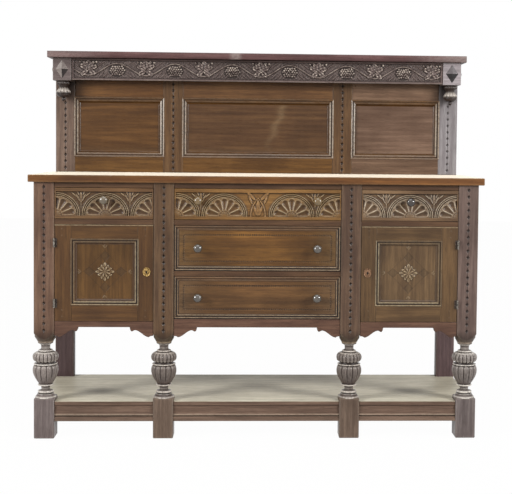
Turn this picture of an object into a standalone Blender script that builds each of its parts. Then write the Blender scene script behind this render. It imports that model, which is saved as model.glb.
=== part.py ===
"""An oak sideboard in the Jacobean revival style, in metres, +Z up.

The case stands on four turned front legs and two plain back posts, and a potboard joins the feet.
Two cupboards stand either side of a pair of drawers, with three shallow frieze drawers over them.
A panelled gallery rises from the back of the worktop and ends in a narrow canopy with pendants.

The origin is on the floor under the middle of the object. +X points to the viewer's right, and +Y
points away from the viewer. Every left-hand piece has a mirrored right-hand one.
"""

import math

import bmesh
import bpy
from mathutils import Matrix

# Gap left between faces that are glued, screwed or seated on each other
FIT = 0.0003
# How far a cutter runs past the face that it opens
PAST = 0.004
# How deep a joined shape is buried in its neighbour
BURY = 0.003
# Points closer than this are one point
WELD = 0.00001
# Edges that turn by more than this stay sharp
SHARP_ANGLE = math.radians(40)

# Case
CARCASE_WIDTH = 1.638
CARCASE_DEPTH = 0.495
CENTRE_BAY = 0.617
POST = 0.074
BACK_POST_DEPTH = 0.042
RAIL_SETBACK = 0.003
SIDE_SETBACK = 0.005
SIDE_THICK = 0.018
BACK_THICK = 0.006
BACK_SETBACK = 0.002

# Turned leg, from the floor up: heights, then radii
FOOT_HEIGHT = 0.150
COLLAR_HEIGHT = 0.024
FOOT_RING_HEIGHT = 0.006
LOWER_NECK_HEIGHT = 0.018
CUP_HEIGHT = 0.075
GROOVE_HEIGHT = 0.007
COVER_HEIGHT = 0.040
COVER_RING_HEIGHT = 0.008
UPPER_NECK_HEIGHT = 0.019
TOP_RING_HEIGHT = 0.006
SHOULDER_HEIGHT = 0.040
COLLAR_RADIUS = 0.0365
COLLAR_TOP_RADIUS = 0.0310
FOOT_RING_RADIUS = 0.0265
NECK_RADIUS = 0.0175
CUP_FOOT_RADIUS = 0.0240
BULB_RADIUS = 0.0465
BULB_LIP_RADIUS = 0.0370
GROOVE_RADIUS = 0.0315
COVER_RING_RADIUS = 0.0285
TOP_RING_RADIUS = 0.0275
SHOULDER_RADIUS = 0.0310
# Lengths of the slopes and of the collar's bead
COLLAR_BEAD = 0.006
LOWER_NECK_SLOPE = 0.009
CUP_FOOT_SLOPE = 0.0036
UPPER_NECK_SLOPE = 0.0063
# Share of the height at which the cup and the cover are widest, and how round the shoulder is
CUP_WIDEST = 0.73
COVER_WIDEST = 0.52
SHOULDER_ROUND = 0.55
# Points along the profiles, and facets round the axis
CUP_POINTS = 7
COVER_POINTS = 6
SHOULDER_POINTS = 5
TURNING_STEPS = 16

# Rails and openings of the front, from the legs up
APRON_RISE = 0.061
APRON_HEIGHT = 0.031
APRON_THICK = 0.020
DOOR_DROP = 0.010
BOTTOM_THICK = 0.018
LOWER_DRAWER_OPENING = 0.160
DRAWER_RAIL = 0.018
UPPER_DRAWER_OPENING = 0.170
FRIEZE_RAIL = 0.019
FRIEZE_OPENING = 0.116
TOP_RAIL = 0.019
PARTITION_THICK = 0.018
GUIDE_HEIGHT = 0.014

# Shaped bracket at each end of an apron
BRACKET_WIDTH = 0.086
BRACKET_DROP = 0.037
LOBE_WIDTH = 0.015
LOBE_RISE = 0.005
NIB_START = 0.068
NIB_END = 0.078
NIB_DROP = 0.016
OGEE_START_DROP = 0.011
BRACKET_POINTS = 8
LOBE_POINTS = 3

# Potboard and its rails
POTBOARD_DROP = 0.0124
POTBOARD_THICK = 0.015
STRETCHER_HEIGHT = 0.0585
STRETCHER_THICK = 0.022
STRETCHER_SETBACK = 0.004
STRETCHER_STEP = 0.004
STRETCHER_BAND = 0.020

# Tenons at the ends of the rails
TENON_LENGTH = 0.018
TENON_THICK = 0.008
TENON_SHOULDER = 0.006

# Worktop
WORKTOP_THICK = 0.0265
WORKTOP_FRONT = 0.0134
WORKTOP_SIDE = 0.019
WORKTOP_BACK = 0.002
WORKTOP_EDGE = 0.002

# Gallery back
GALLERY_INSET = 0.008
GALLERY_THICK = 0.022
GALLERY_STILE = 0.077
GALLERY_MUNTIN = 0.080
GALLERY_BOTTOM_RAIL = 0.066
GALLERY_OPENING = 0.2345
GALLERY_TOP_RAIL = 0.155
GALLERY_REBATE = 0.009
GALLERY_REBATE_DEPTH = 0.009
GALLERY_PANEL_THICK = 0.008

# Canopy
CANOPY_THICK = 0.025
CANOPY_FRONT = 0.020
CANOPY_SIDE = 0.019
CANOPY_BACK = 0.004
BLOCK_WIDTH = 0.073
BLOCK_DEPTH = 0.072
BLOCK_HEIGHT = 0.090
FRIEZE_THICK = 0.020
FRIEZE_SETBACK = 0.004
FRIEZE_LIFT = 0.003
BOSS_WIDTH = 0.054
BOSS_HEIGHT = 0.078
BOSS_PROUD = 0.006
BOSS_BURY = 0.0005

# Turned pendant, from the block down: heights, then radii
PENDANT_RING_HEIGHT = 0.006
PENDANT_NECK_HEIGHT = 0.012
PENDANT_BELL_HEIGHT = 0.027
PENDANT_LIP_HEIGHT = 0.003
PENDANT_UNDER_HEIGHT = 0.012
PENDANT_DROP_HEIGHT = 0.021
PENDANT_RING_RADIUS = 0.0290
PENDANT_NECK_RADIUS = 0.0200
PENDANT_BELL_RADIUS = 0.0305
PENDANT_DROP_RADIUS = 0.0120
PENDANT_POINTS = 4

# Doors
DOOR_GAP = 0.0015
DOOR_THICK = 0.021
DOOR_SETBACK = 0.002
DOOR_STILE = 0.057
DOOR_RAIL = 0.055
DOOR_REBATE = 0.008
DOOR_REBATE_DEPTH = 0.011
DOOR_PANEL_THICK = 0.010

# Butt hinges
HINGE_HEIGHT = 0.033
HINGE_INSET = 0.066
HINGE_RADIUS = 0.0040
HINGE_PROUD = 0.0050
LEAF_THICK = 0.0008
LEAF_DEPTH = 0.018
HINGE_STEPS = 12

# Door locks
LOCK_HEIGHT = 0.184
LOCK_INSET = 0.0255
LOCK_WIDTH = 0.052
LOCK_BELOW = 0.022
LOCK_ABOVE = 0.030
LOCK_THICK = 0.013
LOCK_SETBACK = 0.003
BARREL_RADIUS = 0.0060
SHIELD_WIDTH = 0.030
SHIELD_HEIGHT = 0.035
SHIELD_THICK = 0.0025
BOLT_LENGTH = 0.030
BOLT_HEIGHT = 0.012
BOLT_THICK = 0.006
BOLT_LIFT = 0.016
BOLT_TRAVEL = 0.0105
STRIKE_CLEARANCE = 0.001
LOCK_STEPS = 16

# Drawers
DRAWER_GAP = 0.0012
DRAWER_FRONT_THICK = 0.020
DRAWER_SETBACK = 0.002
DRAWER_SIDE_GAP = 0.0015
DRAWER_HEADROOM = 0.008
DRAWER_BACK_GAP = 0.012
DRAWER_SIDE_THICK = 0.010
DRAWER_BOTTOM_THICK = 0.007

# Turned knobs
KNOB_LENGTH = 0.030
KNOB_RADIUS = 0.0160
KNOB_NECK_RADIUS = 0.0085
KNOB_BASE_RADIUS = 0.0120
KNOB_BASE_HEIGHT = 0.004
KNOB_NECK_HEIGHT = 0.006
KNOB_HEEL_RADIUS = 0.0136
KNOB_HEEL_HEIGHT = 0.003
KNOB_DOME_HEIGHT = 0.011
KNOB_POINTS = 5
SPIGOT_RADIUS = 0.0050
SPIGOT_LENGTH = 0.012
KNOB_STEPS = 12
KNOB_INSET = 0.0885
FRIEZE_KNOB_RISE = 0.013

# Places across the width, worked out from the sizes above
HALF = CARCASE_WIDTH / 2
INNER_POST = CENTRE_BAY / 2 + POST / 2
OUTER_POST = HALF - POST / 2
BAY_INNER = CENTRE_BAY / 2 + POST
BAY_OUTER = HALF - POST
BAY_MIDDLE = (BAY_INNER + BAY_OUTER) / 2
SIDES = (("left", -1), ("right", 1))

# Places along the depth: the box round everything is centred on Y = 0
KNOB_REACH = KNOB_LENGTH + FIT - DRAWER_SETBACK
FRONT = (max(KNOB_REACH, WORKTOP_FRONT) - CARCASE_DEPTH - WORKTOP_BACK) / 2
BACK = FRONT + CARCASE_DEPTH
BACK_POST_FRONT = BACK - BACK_POST_DEPTH
BACK_FACE = BACK - BACK_SETBACK - BACK_THICK
GALLERY_BACK = BACK - GALLERY_INSET
GALLERY_FRONT = GALLERY_BACK - GALLERY_THICK
BLOCK_FRONT = GALLERY_FRONT - FIT - BLOCK_DEPTH
RAIL_FRONT = FRONT + RAIL_SETBACK
DOOR_FRONT = FRONT + DOOR_SETBACK
DOOR_BACK = DOOR_FRONT + DOOR_THICK
DRAWER_FACE = FRONT + DRAWER_SETBACK
DRAWER_FRONT_BACK = DRAWER_FACE + DRAWER_FRONT_THICK

# Heights, stacked up from the floor
COLLAR_Z = FOOT_HEIGHT
FOOT_RING_Z = COLLAR_Z + COLLAR_HEIGHT
LOWER_NECK_Z = FOOT_RING_Z + FOOT_RING_HEIGHT
CUP_Z = LOWER_NECK_Z + LOWER_NECK_HEIGHT
GROOVE_Z = CUP_Z + CUP_HEIGHT
COVER_Z = GROOVE_Z + GROOVE_HEIGHT
COVER_RING_Z = COVER_Z + COVER_HEIGHT
UPPER_NECK_Z = COVER_RING_Z + COVER_RING_HEIGHT
TOP_RING_Z = UPPER_NECK_Z + UPPER_NECK_HEIGHT
STILE_Z = TOP_RING_Z + TOP_RING_HEIGHT
APRON_Z = STILE_Z + APRON_RISE
BOTTOM_TOP = APRON_Z + APRON_HEIGHT
DOOR_Z = BOTTOM_TOP - DOOR_DROP
RAIL_Z = BOTTOM_TOP + LOWER_DRAWER_OPENING
UPPER_DRAWER_Z = RAIL_Z + DRAWER_RAIL
SHELF_Z = UPPER_DRAWER_Z + UPPER_DRAWER_OPENING
FRIEZE_Z = SHELF_Z + FRIEZE_RAIL
TOP_RAIL_Z = FRIEZE_Z + FRIEZE_OPENING
CASE_TOP = TOP_RAIL_Z + TOP_RAIL
WORKTOP_Z = CASE_TOP + FIT
WORKTOP_TOP = WORKTOP_Z + WORKTOP_THICK
GALLERY_Z = WORKTOP_TOP + FIT
WINDOW_Z = GALLERY_Z + GALLERY_BOTTOM_RAIL
WINDOW_TOP = WINDOW_Z + GALLERY_OPENING
GALLERY_TOP = WINDOW_TOP + GALLERY_TOP_RAIL
CANOPY_Z = GALLERY_TOP + FIT
BLOCK_TOP = CANOPY_Z - FIT
BLOCK_Z = BLOCK_TOP - BLOCK_HEIGHT
POTBOARD_TOP = FOOT_HEIGHT - POTBOARD_DROP
POTBOARD_Z = POTBOARD_TOP - POTBOARD_THICK
STRETCHER_TOP = POTBOARD_Z - FIT
STRETCHER_Z = STRETCHER_TOP - STRETCHER_HEIGHT


def new_collection(name):
    """Add an empty collection to the scene."""
    collection = bpy.data.collections.new(name)
    bpy.context.scene.collection.children.link(collection)
    return collection


def finish(name, colour, roughness, metallic=0.0):
    """A plain Principled material."""
    material = bpy.data.materials.new(name)
    material.use_nodes = True
    shader = material.node_tree.nodes["Principled BSDF"]
    shader.inputs["Base Color"].default_value = (*colour, 1.0)
    shader.inputs["Roughness"].default_value = roughness
    shader.inputs["Metallic"].default_value = metallic
    return material


def add_part(name, mesh, material, location=(0, 0, 0), rotation=(0, 0, 0), parent=None):
    """Put one sub-part in the sideboard's collection, at a place given in world coordinates."""
    part = bpy.data.objects.new(name, mesh)
    part.location = location
    part.rotation_euler = rotation
    mesh.materials.clear()
    mesh.materials.append(material)
    if parent is not None:
        part.parent = parent
        part.matrix_parent_inverse = Matrix.Translation(-parent.location)
    SIDEBOARD.objects.link(part)
    return part


def add_cutter(name, mesh, location=(0, 0, 0), rotation=(0, 0, 0)):
    """Put a shape that only cuts or joins others in the cutters' collection."""
    cutter = bpy.data.objects.new(name, mesh)
    cutter.location = location
    cutter.rotation_euler = rotation
    cutter.hide_render = True
    cutter.display_type = "WIRE"
    CUTTERS.objects.link(cutter)
    return cutter


def boxes_mesh(name, boxes, centre=(0, 0, 0)):
    """One mesh of boxes that don't touch, each given by two opposite corners."""
    shape = bmesh.new()
    for low, high in boxes:
        cube = bmesh.ops.create_cube(shape, size=1.0)
        for vert in cube["verts"]:
            for axis in range(3):
                middle = (low[axis] + high[axis]) / 2 - centre[axis]
                vert.co[axis] = middle + vert.co[axis] * abs(high[axis] - low[axis])
    mesh = bpy.data.meshes.new(name)
    shape.to_mesh(mesh)
    shape.free()
    return mesh


def add_box(name, low, high, material, parent=None):
    """A square-edged piece, with its origin at its middle."""
    middle = tuple((low[axis] + high[axis]) / 2 for axis in range(3))
    return add_part(name, boxes_mesh(name, [(low, high)], middle), material, middle, parent=parent)


def change(part, other, operation):
    """Cut a shape from a part, join it on, or keep only what they share."""
    modifier = part.modifiers.new(other.name, "BOOLEAN")
    modifier.object = other
    modifier.operation = operation
    modifier.solver = "EXACT"


def cut_boxes(part, boxes):
    """Cut a set of boxes from a part."""
    change(part, add_cutter(part.name + "_cut", boxes_mesh(part.name + "_cut", boxes)), "DIFFERENCE")


def join_boxes(part, boxes):
    """Join a set of boxes to a part."""
    change(part, add_cutter(part.name + "_add", boxes_mesh(part.name + "_add", boxes)), "UNION")


def evaluated_mesh(source, name):
    """The mesh of an object with its modifiers, or of a curve, with its seams welded."""
    graph = bpy.context.evaluated_depsgraph_get()
    mesh = bpy.data.meshes.new_from_object(source.evaluated_get(graph), depsgraph=graph)
    mesh.name = name
    shape = bmesh.new()
    shape.from_mesh(mesh)
    bmesh.ops.remove_doubles(shape, verts=shape.verts, dist=WELD)
    shape.to_mesh(mesh)
    shape.free()
    return mesh


def turned_mesh(name, profile, steps):
    """Turn a profile of (radius, height) points, top to bottom, round the Z axis."""
    edges = [(index, index + 1) for index in range(len(profile) - 1)]
    mesh = bpy.data.meshes.new(name + "_profile")
    mesh.from_pydata([(radius, 0, height) for radius, height in profile], edges, [])
    turning = bpy.data.objects.new(name, mesh)
    bpy.context.scene.collection.objects.link(turning)
    screw = turning.modifiers.new("Turning", "SCREW")
    screw.steps = steps
    screw.render_steps = steps
    screw.use_merge_vertices = True
    screw.merge_threshold = WELD
    result = evaluated_mesh(turning, name)
    bpy.data.objects.remove(turning)
    result.shade_smooth()
    result.set_sharp_from_angle(angle=SHARP_ANGLE)
    return result


def outline_mesh(name, points, thickness):
    """A flat outline in XY with a thickness centred on Z = 0."""
    curve = bpy.data.curves.new(name, "CURVE")
    curve.dimensions = "2D"
    curve.fill_mode = "BOTH"
    curve.extrude = thickness / 2
    spline = curve.splines.new("POLY")
    spline.points.add(len(points) - 1)
    for point, (across, up) in zip(spline.points, points):
        point.co = (across, up, 0, 1)
    spline.use_cyclic_u = True
    drawing = bpy.data.objects.new(name, curve)
    bpy.context.scene.collection.objects.link(drawing)
    mesh = evaluated_mesh(drawing, name)
    bpy.data.objects.remove(drawing)
    return mesh


def swell(start, widest, end, height, share, count):
    """Radii up a turned bulb: a quarter ellipse out to its widest, and another one back in."""
    points = []
    for step in range(count + 1):
        up = step / count
        if up < share:
            part = math.sqrt(1 - (1 - up / share) ** 2)
            points.append((start + (widest - start) * part, up * height))
        else:
            part = math.sqrt(max(0, 1 - ((up - share) / (1 - share)) ** 2))
            points.append((end + (widest - end) * part, up * height))
    return points


def rail_tenons(low, high, axis):
    """The two tenons at the ends of a rail that runs along X (0) or Y (1)."""
    across = 1 - axis
    middle = (low[across] + high[across]) / 2
    tenons = []
    for outer, inward in ((low[axis], 1), (high[axis], -1)):
        tip = outer - inward * TENON_LENGTH
        root = outer + inward * BURY
        first = [0, 0, low[2] + TENON_SHOULDER]
        second = [0, 0, high[2] - TENON_SHOULDER]
        first[axis], second[axis] = min(tip, root), max(tip, root)
        first[across], second[across] = middle - TENON_THICK / 2, middle + TENON_THICK / 2
        tenons.append((tuple(first), tuple(second)))
    return tenons


def with_clearance(box):
    """A box that is larger by the fit on every side."""
    low, high = box
    return tuple(value - FIT for value in low), tuple(value + FIT for value in high)


def add_rail(part, low, high, axis, posts):
    """Join tenons to a rail, and note the mortises that its two posts need."""
    tenons = rail_tenons(low, high, axis)
    join_boxes(part, tenons)
    for post, tenon in zip(posts, tenons):
        MORTISES[post].append(with_clearance(tenon))


def leg_turning():
    """The turned part of a leg, from inside the stile down to inside the foot block."""
    cup = swell(CUP_FOOT_RADIUS, BULB_RADIUS, BULB_LIP_RADIUS, CUP_HEIGHT, CUP_WIDEST, CUP_POINTS)
    cover = swell(
        BULB_LIP_RADIUS, BULB_RADIUS, COVER_RING_RADIUS, COVER_HEIGHT, COVER_WIDEST, COVER_POINTS)
    rising = [
        (0, COLLAR_Z - BURY),
        (COLLAR_RADIUS - FIT, COLLAR_Z - BURY),
        (COLLAR_RADIUS, COLLAR_Z + COLLAR_BEAD),
        (COLLAR_TOP_RADIUS, FOOT_RING_Z),
        (FOOT_RING_RADIUS, FOOT_RING_Z),
        (FOOT_RING_RADIUS, LOWER_NECK_Z),
        (NECK_RADIUS, LOWER_NECK_Z + LOWER_NECK_SLOPE),
        (NECK_RADIUS, CUP_Z - CUP_FOOT_SLOPE),
    ]
    rising += [(radius, CUP_Z + height) for radius, height in cup]
    rising += [(GROOVE_RADIUS, GROOVE_Z), (GROOVE_RADIUS, COVER_Z)]
    rising += [(radius, COVER_Z + height) for radius, height in cover]
    rising += [
        (COVER_RING_RADIUS, UPPER_NECK_Z),
        (NECK_RADIUS, UPPER_NECK_Z + UPPER_NECK_SLOPE),
        (NECK_RADIUS, TOP_RING_Z),
        (TOP_RING_RADIUS, TOP_RING_Z),
        (TOP_RING_RADIUS, STILE_Z + BURY),
        (0, STILE_Z + BURY),
    ]
    return rising[::-1]


def shoulder_turning():
    """The rounded end that the lathe leaves on the square stile, larger than it further up."""
    corner = POST / math.sqrt(2) + PAST
    rising = [(0, STILE_Z)]
    for step in range(SHOULDER_POINTS + 1):
        part = step / SHOULDER_POINTS
        swing = (1 - math.cos(part * math.pi / 2)) * SHOULDER_ROUND + part * (1 - SHOULDER_ROUND)
        radius = SHOULDER_RADIUS + (corner - SHOULDER_RADIUS) * swing
        rising.append((radius, STILE_Z + SHOULDER_HEIGHT * part))
    rising += [(corner, CASE_TOP + PAST), (0, CASE_TOP + PAST)]
    return rising[::-1]


def post_mesh():
    """A front post: square stile, turned leg and square foot, turned from one length of oak."""
    half = POST / 2
    stile_box = ((-half, -half, STILE_Z - PAST), (half, half, CASE_TOP))
    foot_box = ((-half, -half, 0), (half, half, FOOT_HEIGHT))
    stile = add_cutter("stile", boxes_mesh("stile", [stile_box]))
    shoulder = turned_mesh("shoulder", shoulder_turning(), TURNING_STEPS)
    turning = turned_mesh("turning", leg_turning(), TURNING_STEPS)
    change(stile, add_cutter("shoulder", shoulder), "INTERSECT")
    change(stile, add_cutter("turning", turning), "UNION")
    change(stile, add_cutter("foot", boxes_mesh("foot", [foot_box])), "UNION")
    mesh = evaluated_mesh(stile, "front_post")
    mesh.shade_smooth()
    mesh.set_sharp_from_angle(angle=SHARP_ANGLE)
    return mesh


def add_posts():
    """Four turned front posts and two plain back posts, mortised for the rails."""
    shape = post_mesh()
    for side, sign in SIDES:
        for place, middle in (("outer", OUTER_POST), ("inner", INNER_POST)):
            name = f"front_post_{side}_{place}"
            post = add_part(name, shape.copy(), OAK, (sign * middle, FRONT + POST / 2, 0))
            cut_boxes(post, MORTISES[name])
        name = f"back_post_{side}"
        inner, outer = sorted((sign * BAY_OUTER, sign * HALF))
        post = add_box(name, (inner, BACK_POST_FRONT, 0), (outer, BACK, CASE_TOP), OAK)
        cut_boxes(post, MORTISES[name])


def post_footprints(low, high):
    """Boxes over the six posts, to notch a board that lies between two heights."""
    boxes = []
    for sign in (-1, 1):
        for middle in (OUTER_POST, INNER_POST):
            left = sign * middle - POST / 2 - FIT
            right = sign * middle + POST / 2 + FIT
            end = FRONT + POST + FIT
            boxes.append(((left, FRONT - PAST, low - PAST), (right, end, high + PAST)))
        inner, outer = sorted((sign * (BAY_OUTER - FIT), sign * (HALF + PAST)))
        start = BACK_POST_FRONT - FIT
        boxes.append(((inner, start, low - PAST), (outer, BACK + PAST, high + PAST)))
    return boxes


def stretcher_mesh(name, length):
    """A moulded rail: a proud lower band under a chamfer, then a plain upper band."""
    step = STRETCHER_STEP
    points = [
        (0, 0),
        (STRETCHER_THICK, 0),
        (STRETCHER_THICK, STRETCHER_HEIGHT),
        (step, STRETCHER_HEIGHT),
        (step, STRETCHER_BAND + step),
        (0, STRETCHER_BAND),
    ]
    return outline_mesh(name, points, length)


def add_potboard():
    """The low shelf, with moulded rails under its front and sides and a plain one at its back."""
    bays = (
        ("left", -BAY_OUTER, -BAY_INNER, ("front_post_left_outer", "front_post_left_inner")),
        ("centre", -CENTRE_BAY / 2, CENTRE_BAY / 2, ("front_post_left_inner", "front_post_right_inner")),
        ("right", BAY_INNER, BAY_OUTER, ("front_post_right_inner", "front_post_right_outer")),
    )
    face = FRONT + STRETCHER_SETBACK
    quarter = math.pi / 2
    for bay, left, right, posts in bays:
        name = f"stretcher_front_{bay}"
        low = (left + FIT, face, STRETCHER_Z)
        high = (right - FIT, face + STRETCHER_THICK, STRETCHER_TOP)
        mesh = stretcher_mesh(name, high[0] - low[0])
        rail = add_part(name, mesh, OAK, ((left + right) / 2, face, STRETCHER_Z), (quarter, 0, quarter))
        add_rail(rail, low, high, 0, posts)
    for side, sign in SIDES:
        name = f"stretcher_side_{side}"
        outer = sign * (HALF - STRETCHER_SETBACK)
        inner = outer - sign * STRETCHER_THICK
        low = (min(outer, inner), FRONT + POST + FIT, STRETCHER_Z)
        high = (max(outer, inner), BACK_POST_FRONT - FIT, STRETCHER_TOP)
        mesh = stretcher_mesh(name, high[1] - low[1])
        turn = 0 if sign < 0 else math.pi
        rail = add_part(name, mesh, OAK, (outer, (low[1] + high[1]) / 2, STRETCHER_Z), (quarter, 0, turn))
        add_rail(rail, low, high, 1, (f"front_post_{side}_outer", f"back_post_{side}"))
    low = (-BAY_OUTER + FIT, BACK - STRETCHER_SETBACK - STRETCHER_THICK, STRETCHER_Z)
    high = (BAY_OUTER - FIT, BACK - STRETCHER_SETBACK, STRETCHER_TOP)
    rail = add_box("stretcher_back", low, high, OAK)
    add_rail(rail, low, high, 0, ("back_post_left", "back_post_right"))
    edge = HALF - STRETCHER_SETBACK
    low = (-edge, face, POTBOARD_Z)
    high = (edge, BACK - STRETCHER_SETBACK, POTBOARD_TOP)
    board = add_box("potboard", low, high, WORN_OAK)
    cut_boxes(board, post_footprints(POTBOARD_Z, POTBOARD_TOP))


def bracket_curve():
    """(distance from the post, drop below the apron's edge) along a bracket, from the post outward."""
    points = [(0, BRACKET_DROP - LOBE_RISE)]
    for step in range(1, LOBE_POINTS + 1):
        turn = step / LOBE_POINTS * math.pi / 2
        points.append((LOBE_WIDTH * math.sin(turn), BRACKET_DROP - LOBE_RISE * math.cos(turn)))
    for step in range(1, BRACKET_POINTS + 1):
        part = step / BRACKET_POINTS
        fall = (1 + math.cos(part * math.pi)) / 2
        along = LOBE_WIDTH + (NIB_START - LOBE_WIDTH) * part
        points.append((along, OGEE_START_DROP + (BRACKET_DROP - OGEE_START_DROP) * fall))
    points.append((NIB_START, NIB_DROP))
    for step in range(LOBE_POINTS + 1):
        turn = step / LOBE_POINTS * math.pi / 2
        along = NIB_END + (BRACKET_WIDTH - NIB_END) * math.sin(turn)
        points.append((along, NIB_DROP * math.cos(turn)))
    return points


def add_aprons():
    """Shaped rails under the doors and drawers, with a bracket at each post."""
    bays = (
        ("left", -BAY_OUTER, -BAY_INNER, DOOR_Z, ("front_post_left_outer", "front_post_left_inner")),
        ("centre", -CENTRE_BAY / 2, CENTRE_BAY / 2, BOTTOM_TOP,
         ("front_post_left_inner", "front_post_right_inner")),
        ("right", BAY_INNER, BAY_OUTER, DOOR_Z, ("front_post_right_inner", "front_post_right_outer")),
    )
    for bay, left, right, top, posts in bays:
        name = f"apron_{bay}"
        middle = (left + right) / 2
        half = (right - left) / 2 - FIT
        bracket = bracket_curve()
        points = [(-half, top - APRON_Z), (half, top - APRON_Z)]
        points += [(half - along, -drop) for along, drop in bracket]
        points += [(along - half, -drop) for along, drop in reversed(bracket)]
        mesh = outline_mesh(name, points, APRON_THICK)
        place = (middle, RAIL_FRONT + APRON_THICK / 2, APRON_Z)
        rail = add_part(name, mesh, OAK, place, (math.pi / 2, 0, 0))
        low = (middle - half, RAIL_FRONT, APRON_Z - BRACKET_DROP + LOBE_RISE)
        high = (middle + half, RAIL_FRONT + APRON_THICK, top)
        add_rail(rail, low, high, 0, posts)


def add_case():
    """Sides, back, boards and partitions of the case."""
    inside = HALF - SIDE_SETBACK - SIDE_THICK - FIT
    for side, sign in SIDES:
        near, far = sorted((sign * (inside + FIT), sign * (HALF - SIDE_SETBACK)))
        low = (near, FRONT + POST + FIT, APRON_Z)
        add_box(f"side_panel_{side}", low, (far, BACK_POST_FRONT - FIT, CASE_TOP), OAK)
    low = (-BAY_OUTER + FIT, BACK_FACE, BOTTOM_TOP - BOTTOM_THICK)
    high = (BAY_OUTER - FIT, BACK_FACE + BACK_THICK, CASE_TOP)
    add_box("carcase_back", low, high, PLAIN_OAK)
    boards = (
        ("carcase_bottom", RAIL_FRONT + APRON_THICK + FIT, BOTTOM_TOP - BOTTOM_THICK, BOTTOM_TOP),
        ("frieze_shelf", RAIL_FRONT, SHELF_Z, FRIEZE_Z),
        ("carcase_top", RAIL_FRONT, TOP_RAIL_Z, CASE_TOP),
    )
    for name, start, bottom, top in boards:
        board = add_box(name, (-inside, start, bottom), (inside, BACK_FACE - FIT, top), OAK)
        if name == "frieze_shelf":
            join_boxes(board, drawer_guides(inside))
        cut_boxes(board, post_footprints(bottom, top + GUIDE_HEIGHT))
    near = CENTRE_BAY / 2
    far = near + PARTITION_THICK
    start = FRONT + POST + FIT
    low = (-near - BURY, RAIL_FRONT, RAIL_Z)
    high = (near + BURY, BACK_FACE - FIT, UPPER_DRAWER_Z)
    housing = add_box("drawer_housing", low, high, PLAIN_OAK)
    cut_boxes(housing, post_footprints(RAIL_Z, UPPER_DRAWER_Z))
    walls = []
    for sign in (-1, 1):
        inner, outer = sorted((sign * near, sign * far))
        first = (inner, start, BOTTOM_TOP + FIT)
        walls.append((first, (outer, BACK_FACE - FIT, SHELF_Z - FIT)))
    join_boxes(housing, walls)


def drawer_guides(inside):
    """Strips on the frieze shelf that keep its three drawers in line."""
    start = FRONT + POST + FIT
    finish_line = BACK_POST_FRONT - FIT
    guides = []
    for sign in (-1, 1):
        for near, far in ((CENTRE_BAY / 2, BAY_INNER), (BAY_OUTER, inside - FIT)):
            left, right = sorted((sign * near, sign * far))
            low = (left, start, FRIEZE_Z - BURY)
            guides.append((low, (right, finish_line, FRIEZE_Z + GUIDE_HEIGHT)))
    return guides


def add_worktop():
    """The worktop, one board with softened edges."""
    edge = HALF + WORKTOP_SIDE
    low = (-edge, FRONT - WORKTOP_FRONT, WORKTOP_Z)
    top = add_box("worktop", low, (edge, BACK + WORKTOP_BACK, WORKTOP_TOP), OAK)
    bevel = top.modifiers.new("Softened edge", "BEVEL")
    bevel.width = WORKTOP_EDGE
    bevel.segments = 1


def gallery_windows():
    """The three panel openings of the gallery, as (left, right)."""
    inner = INNER_POST - GALLERY_MUNTIN / 2
    outer = INNER_POST + GALLERY_MUNTIN / 2
    end = HALF - GALLERY_STILE
    return ((-end, -outer), (-inner, inner), (outer, end))


def add_gallery():
    """The framed back above the worktop, with its panel let into a rebate behind."""
    low = (-HALF, GALLERY_FRONT, GALLERY_Z)
    frame = add_box("gallery_frame", low, (HALF, GALLERY_BACK, GALLERY_TOP), OAK)
    rebate_face = GALLERY_BACK - GALLERY_REBATE_DEPTH
    end = HALF - GALLERY_STILE + GALLERY_REBATE
    bottom = WINDOW_Z - GALLERY_REBATE
    top = WINDOW_TOP + GALLERY_REBATE
    cut_boxes(frame, [((-end, rebate_face, bottom), (end, GALLERY_BACK + PAST, top))])
    windows = []
    for left, right in gallery_windows():
        first = (left, GALLERY_FRONT - PAST, WINDOW_Z)
        windows.append((first, (right, rebate_face + PAST, WINDOW_TOP)))
    change(frame, add_cutter("gallery_windows", boxes_mesh("gallery_windows", windows)), "DIFFERENCE")
    low = (-end + FIT, rebate_face + FIT, bottom + FIT)
    high = (end - FIT, rebate_face + FIT + GALLERY_PANEL_THICK, top - FIT)
    add_box("gallery_panel", low, high, PANEL_OAK)


def pendant_turning():
    """The turned drop under a canopy block, from inside the block down to its tip."""
    down = BLOCK_Z
    points = [(0, down + BURY), (PENDANT_RING_RADIUS, down + BURY)]
    down -= PENDANT_RING_HEIGHT
    points += [(PENDANT_RING_RADIUS, down), (PENDANT_NECK_RADIUS, down)]
    down -= PENDANT_NECK_HEIGHT
    for step in range(PENDANT_POINTS + 1):
        part = step / PENDANT_POINTS
        flare = (PENDANT_BELL_RADIUS - PENDANT_NECK_RADIUS) * math.sin(part * math.pi / 2)
        points.append((PENDANT_NECK_RADIUS + flare, down - PENDANT_BELL_HEIGHT * part))
    down -= PENDANT_BELL_HEIGHT + PENDANT_LIP_HEIGHT
    points.append((PENDANT_BELL_RADIUS, down))
    down -= PENDANT_UNDER_HEIGHT
    for step in range(PENDANT_POINTS):
        part = step / PENDANT_POINTS
        points.append((PENDANT_DROP_RADIUS * math.cos(part * math.pi / 2), down - PENDANT_DROP_HEIGHT * part))
    points.append((0, down - PENDANT_DROP_HEIGHT))
    return points


def boss_mesh(name):
    """A four-sided pyramid on Z whose base lies buried under Z = 0."""
    depth = BOSS_PROUD + BOSS_BURY
    share = depth / BOSS_PROUD
    shape = bmesh.new()
    bmesh.ops.create_cone(shape, cap_ends=True, segments=4, radius1=0.5, radius2=0, depth=1)
    for vert in shape.verts:
        vert.co.x *= BOSS_WIDTH * share
        vert.co.y *= BOSS_HEIGHT * share
        vert.co.z = (vert.co.z + 0.5) * depth - BOSS_BURY
    mesh = bpy.data.meshes.new(name)
    shape.to_mesh(mesh)
    shape.free()
    return mesh


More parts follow.
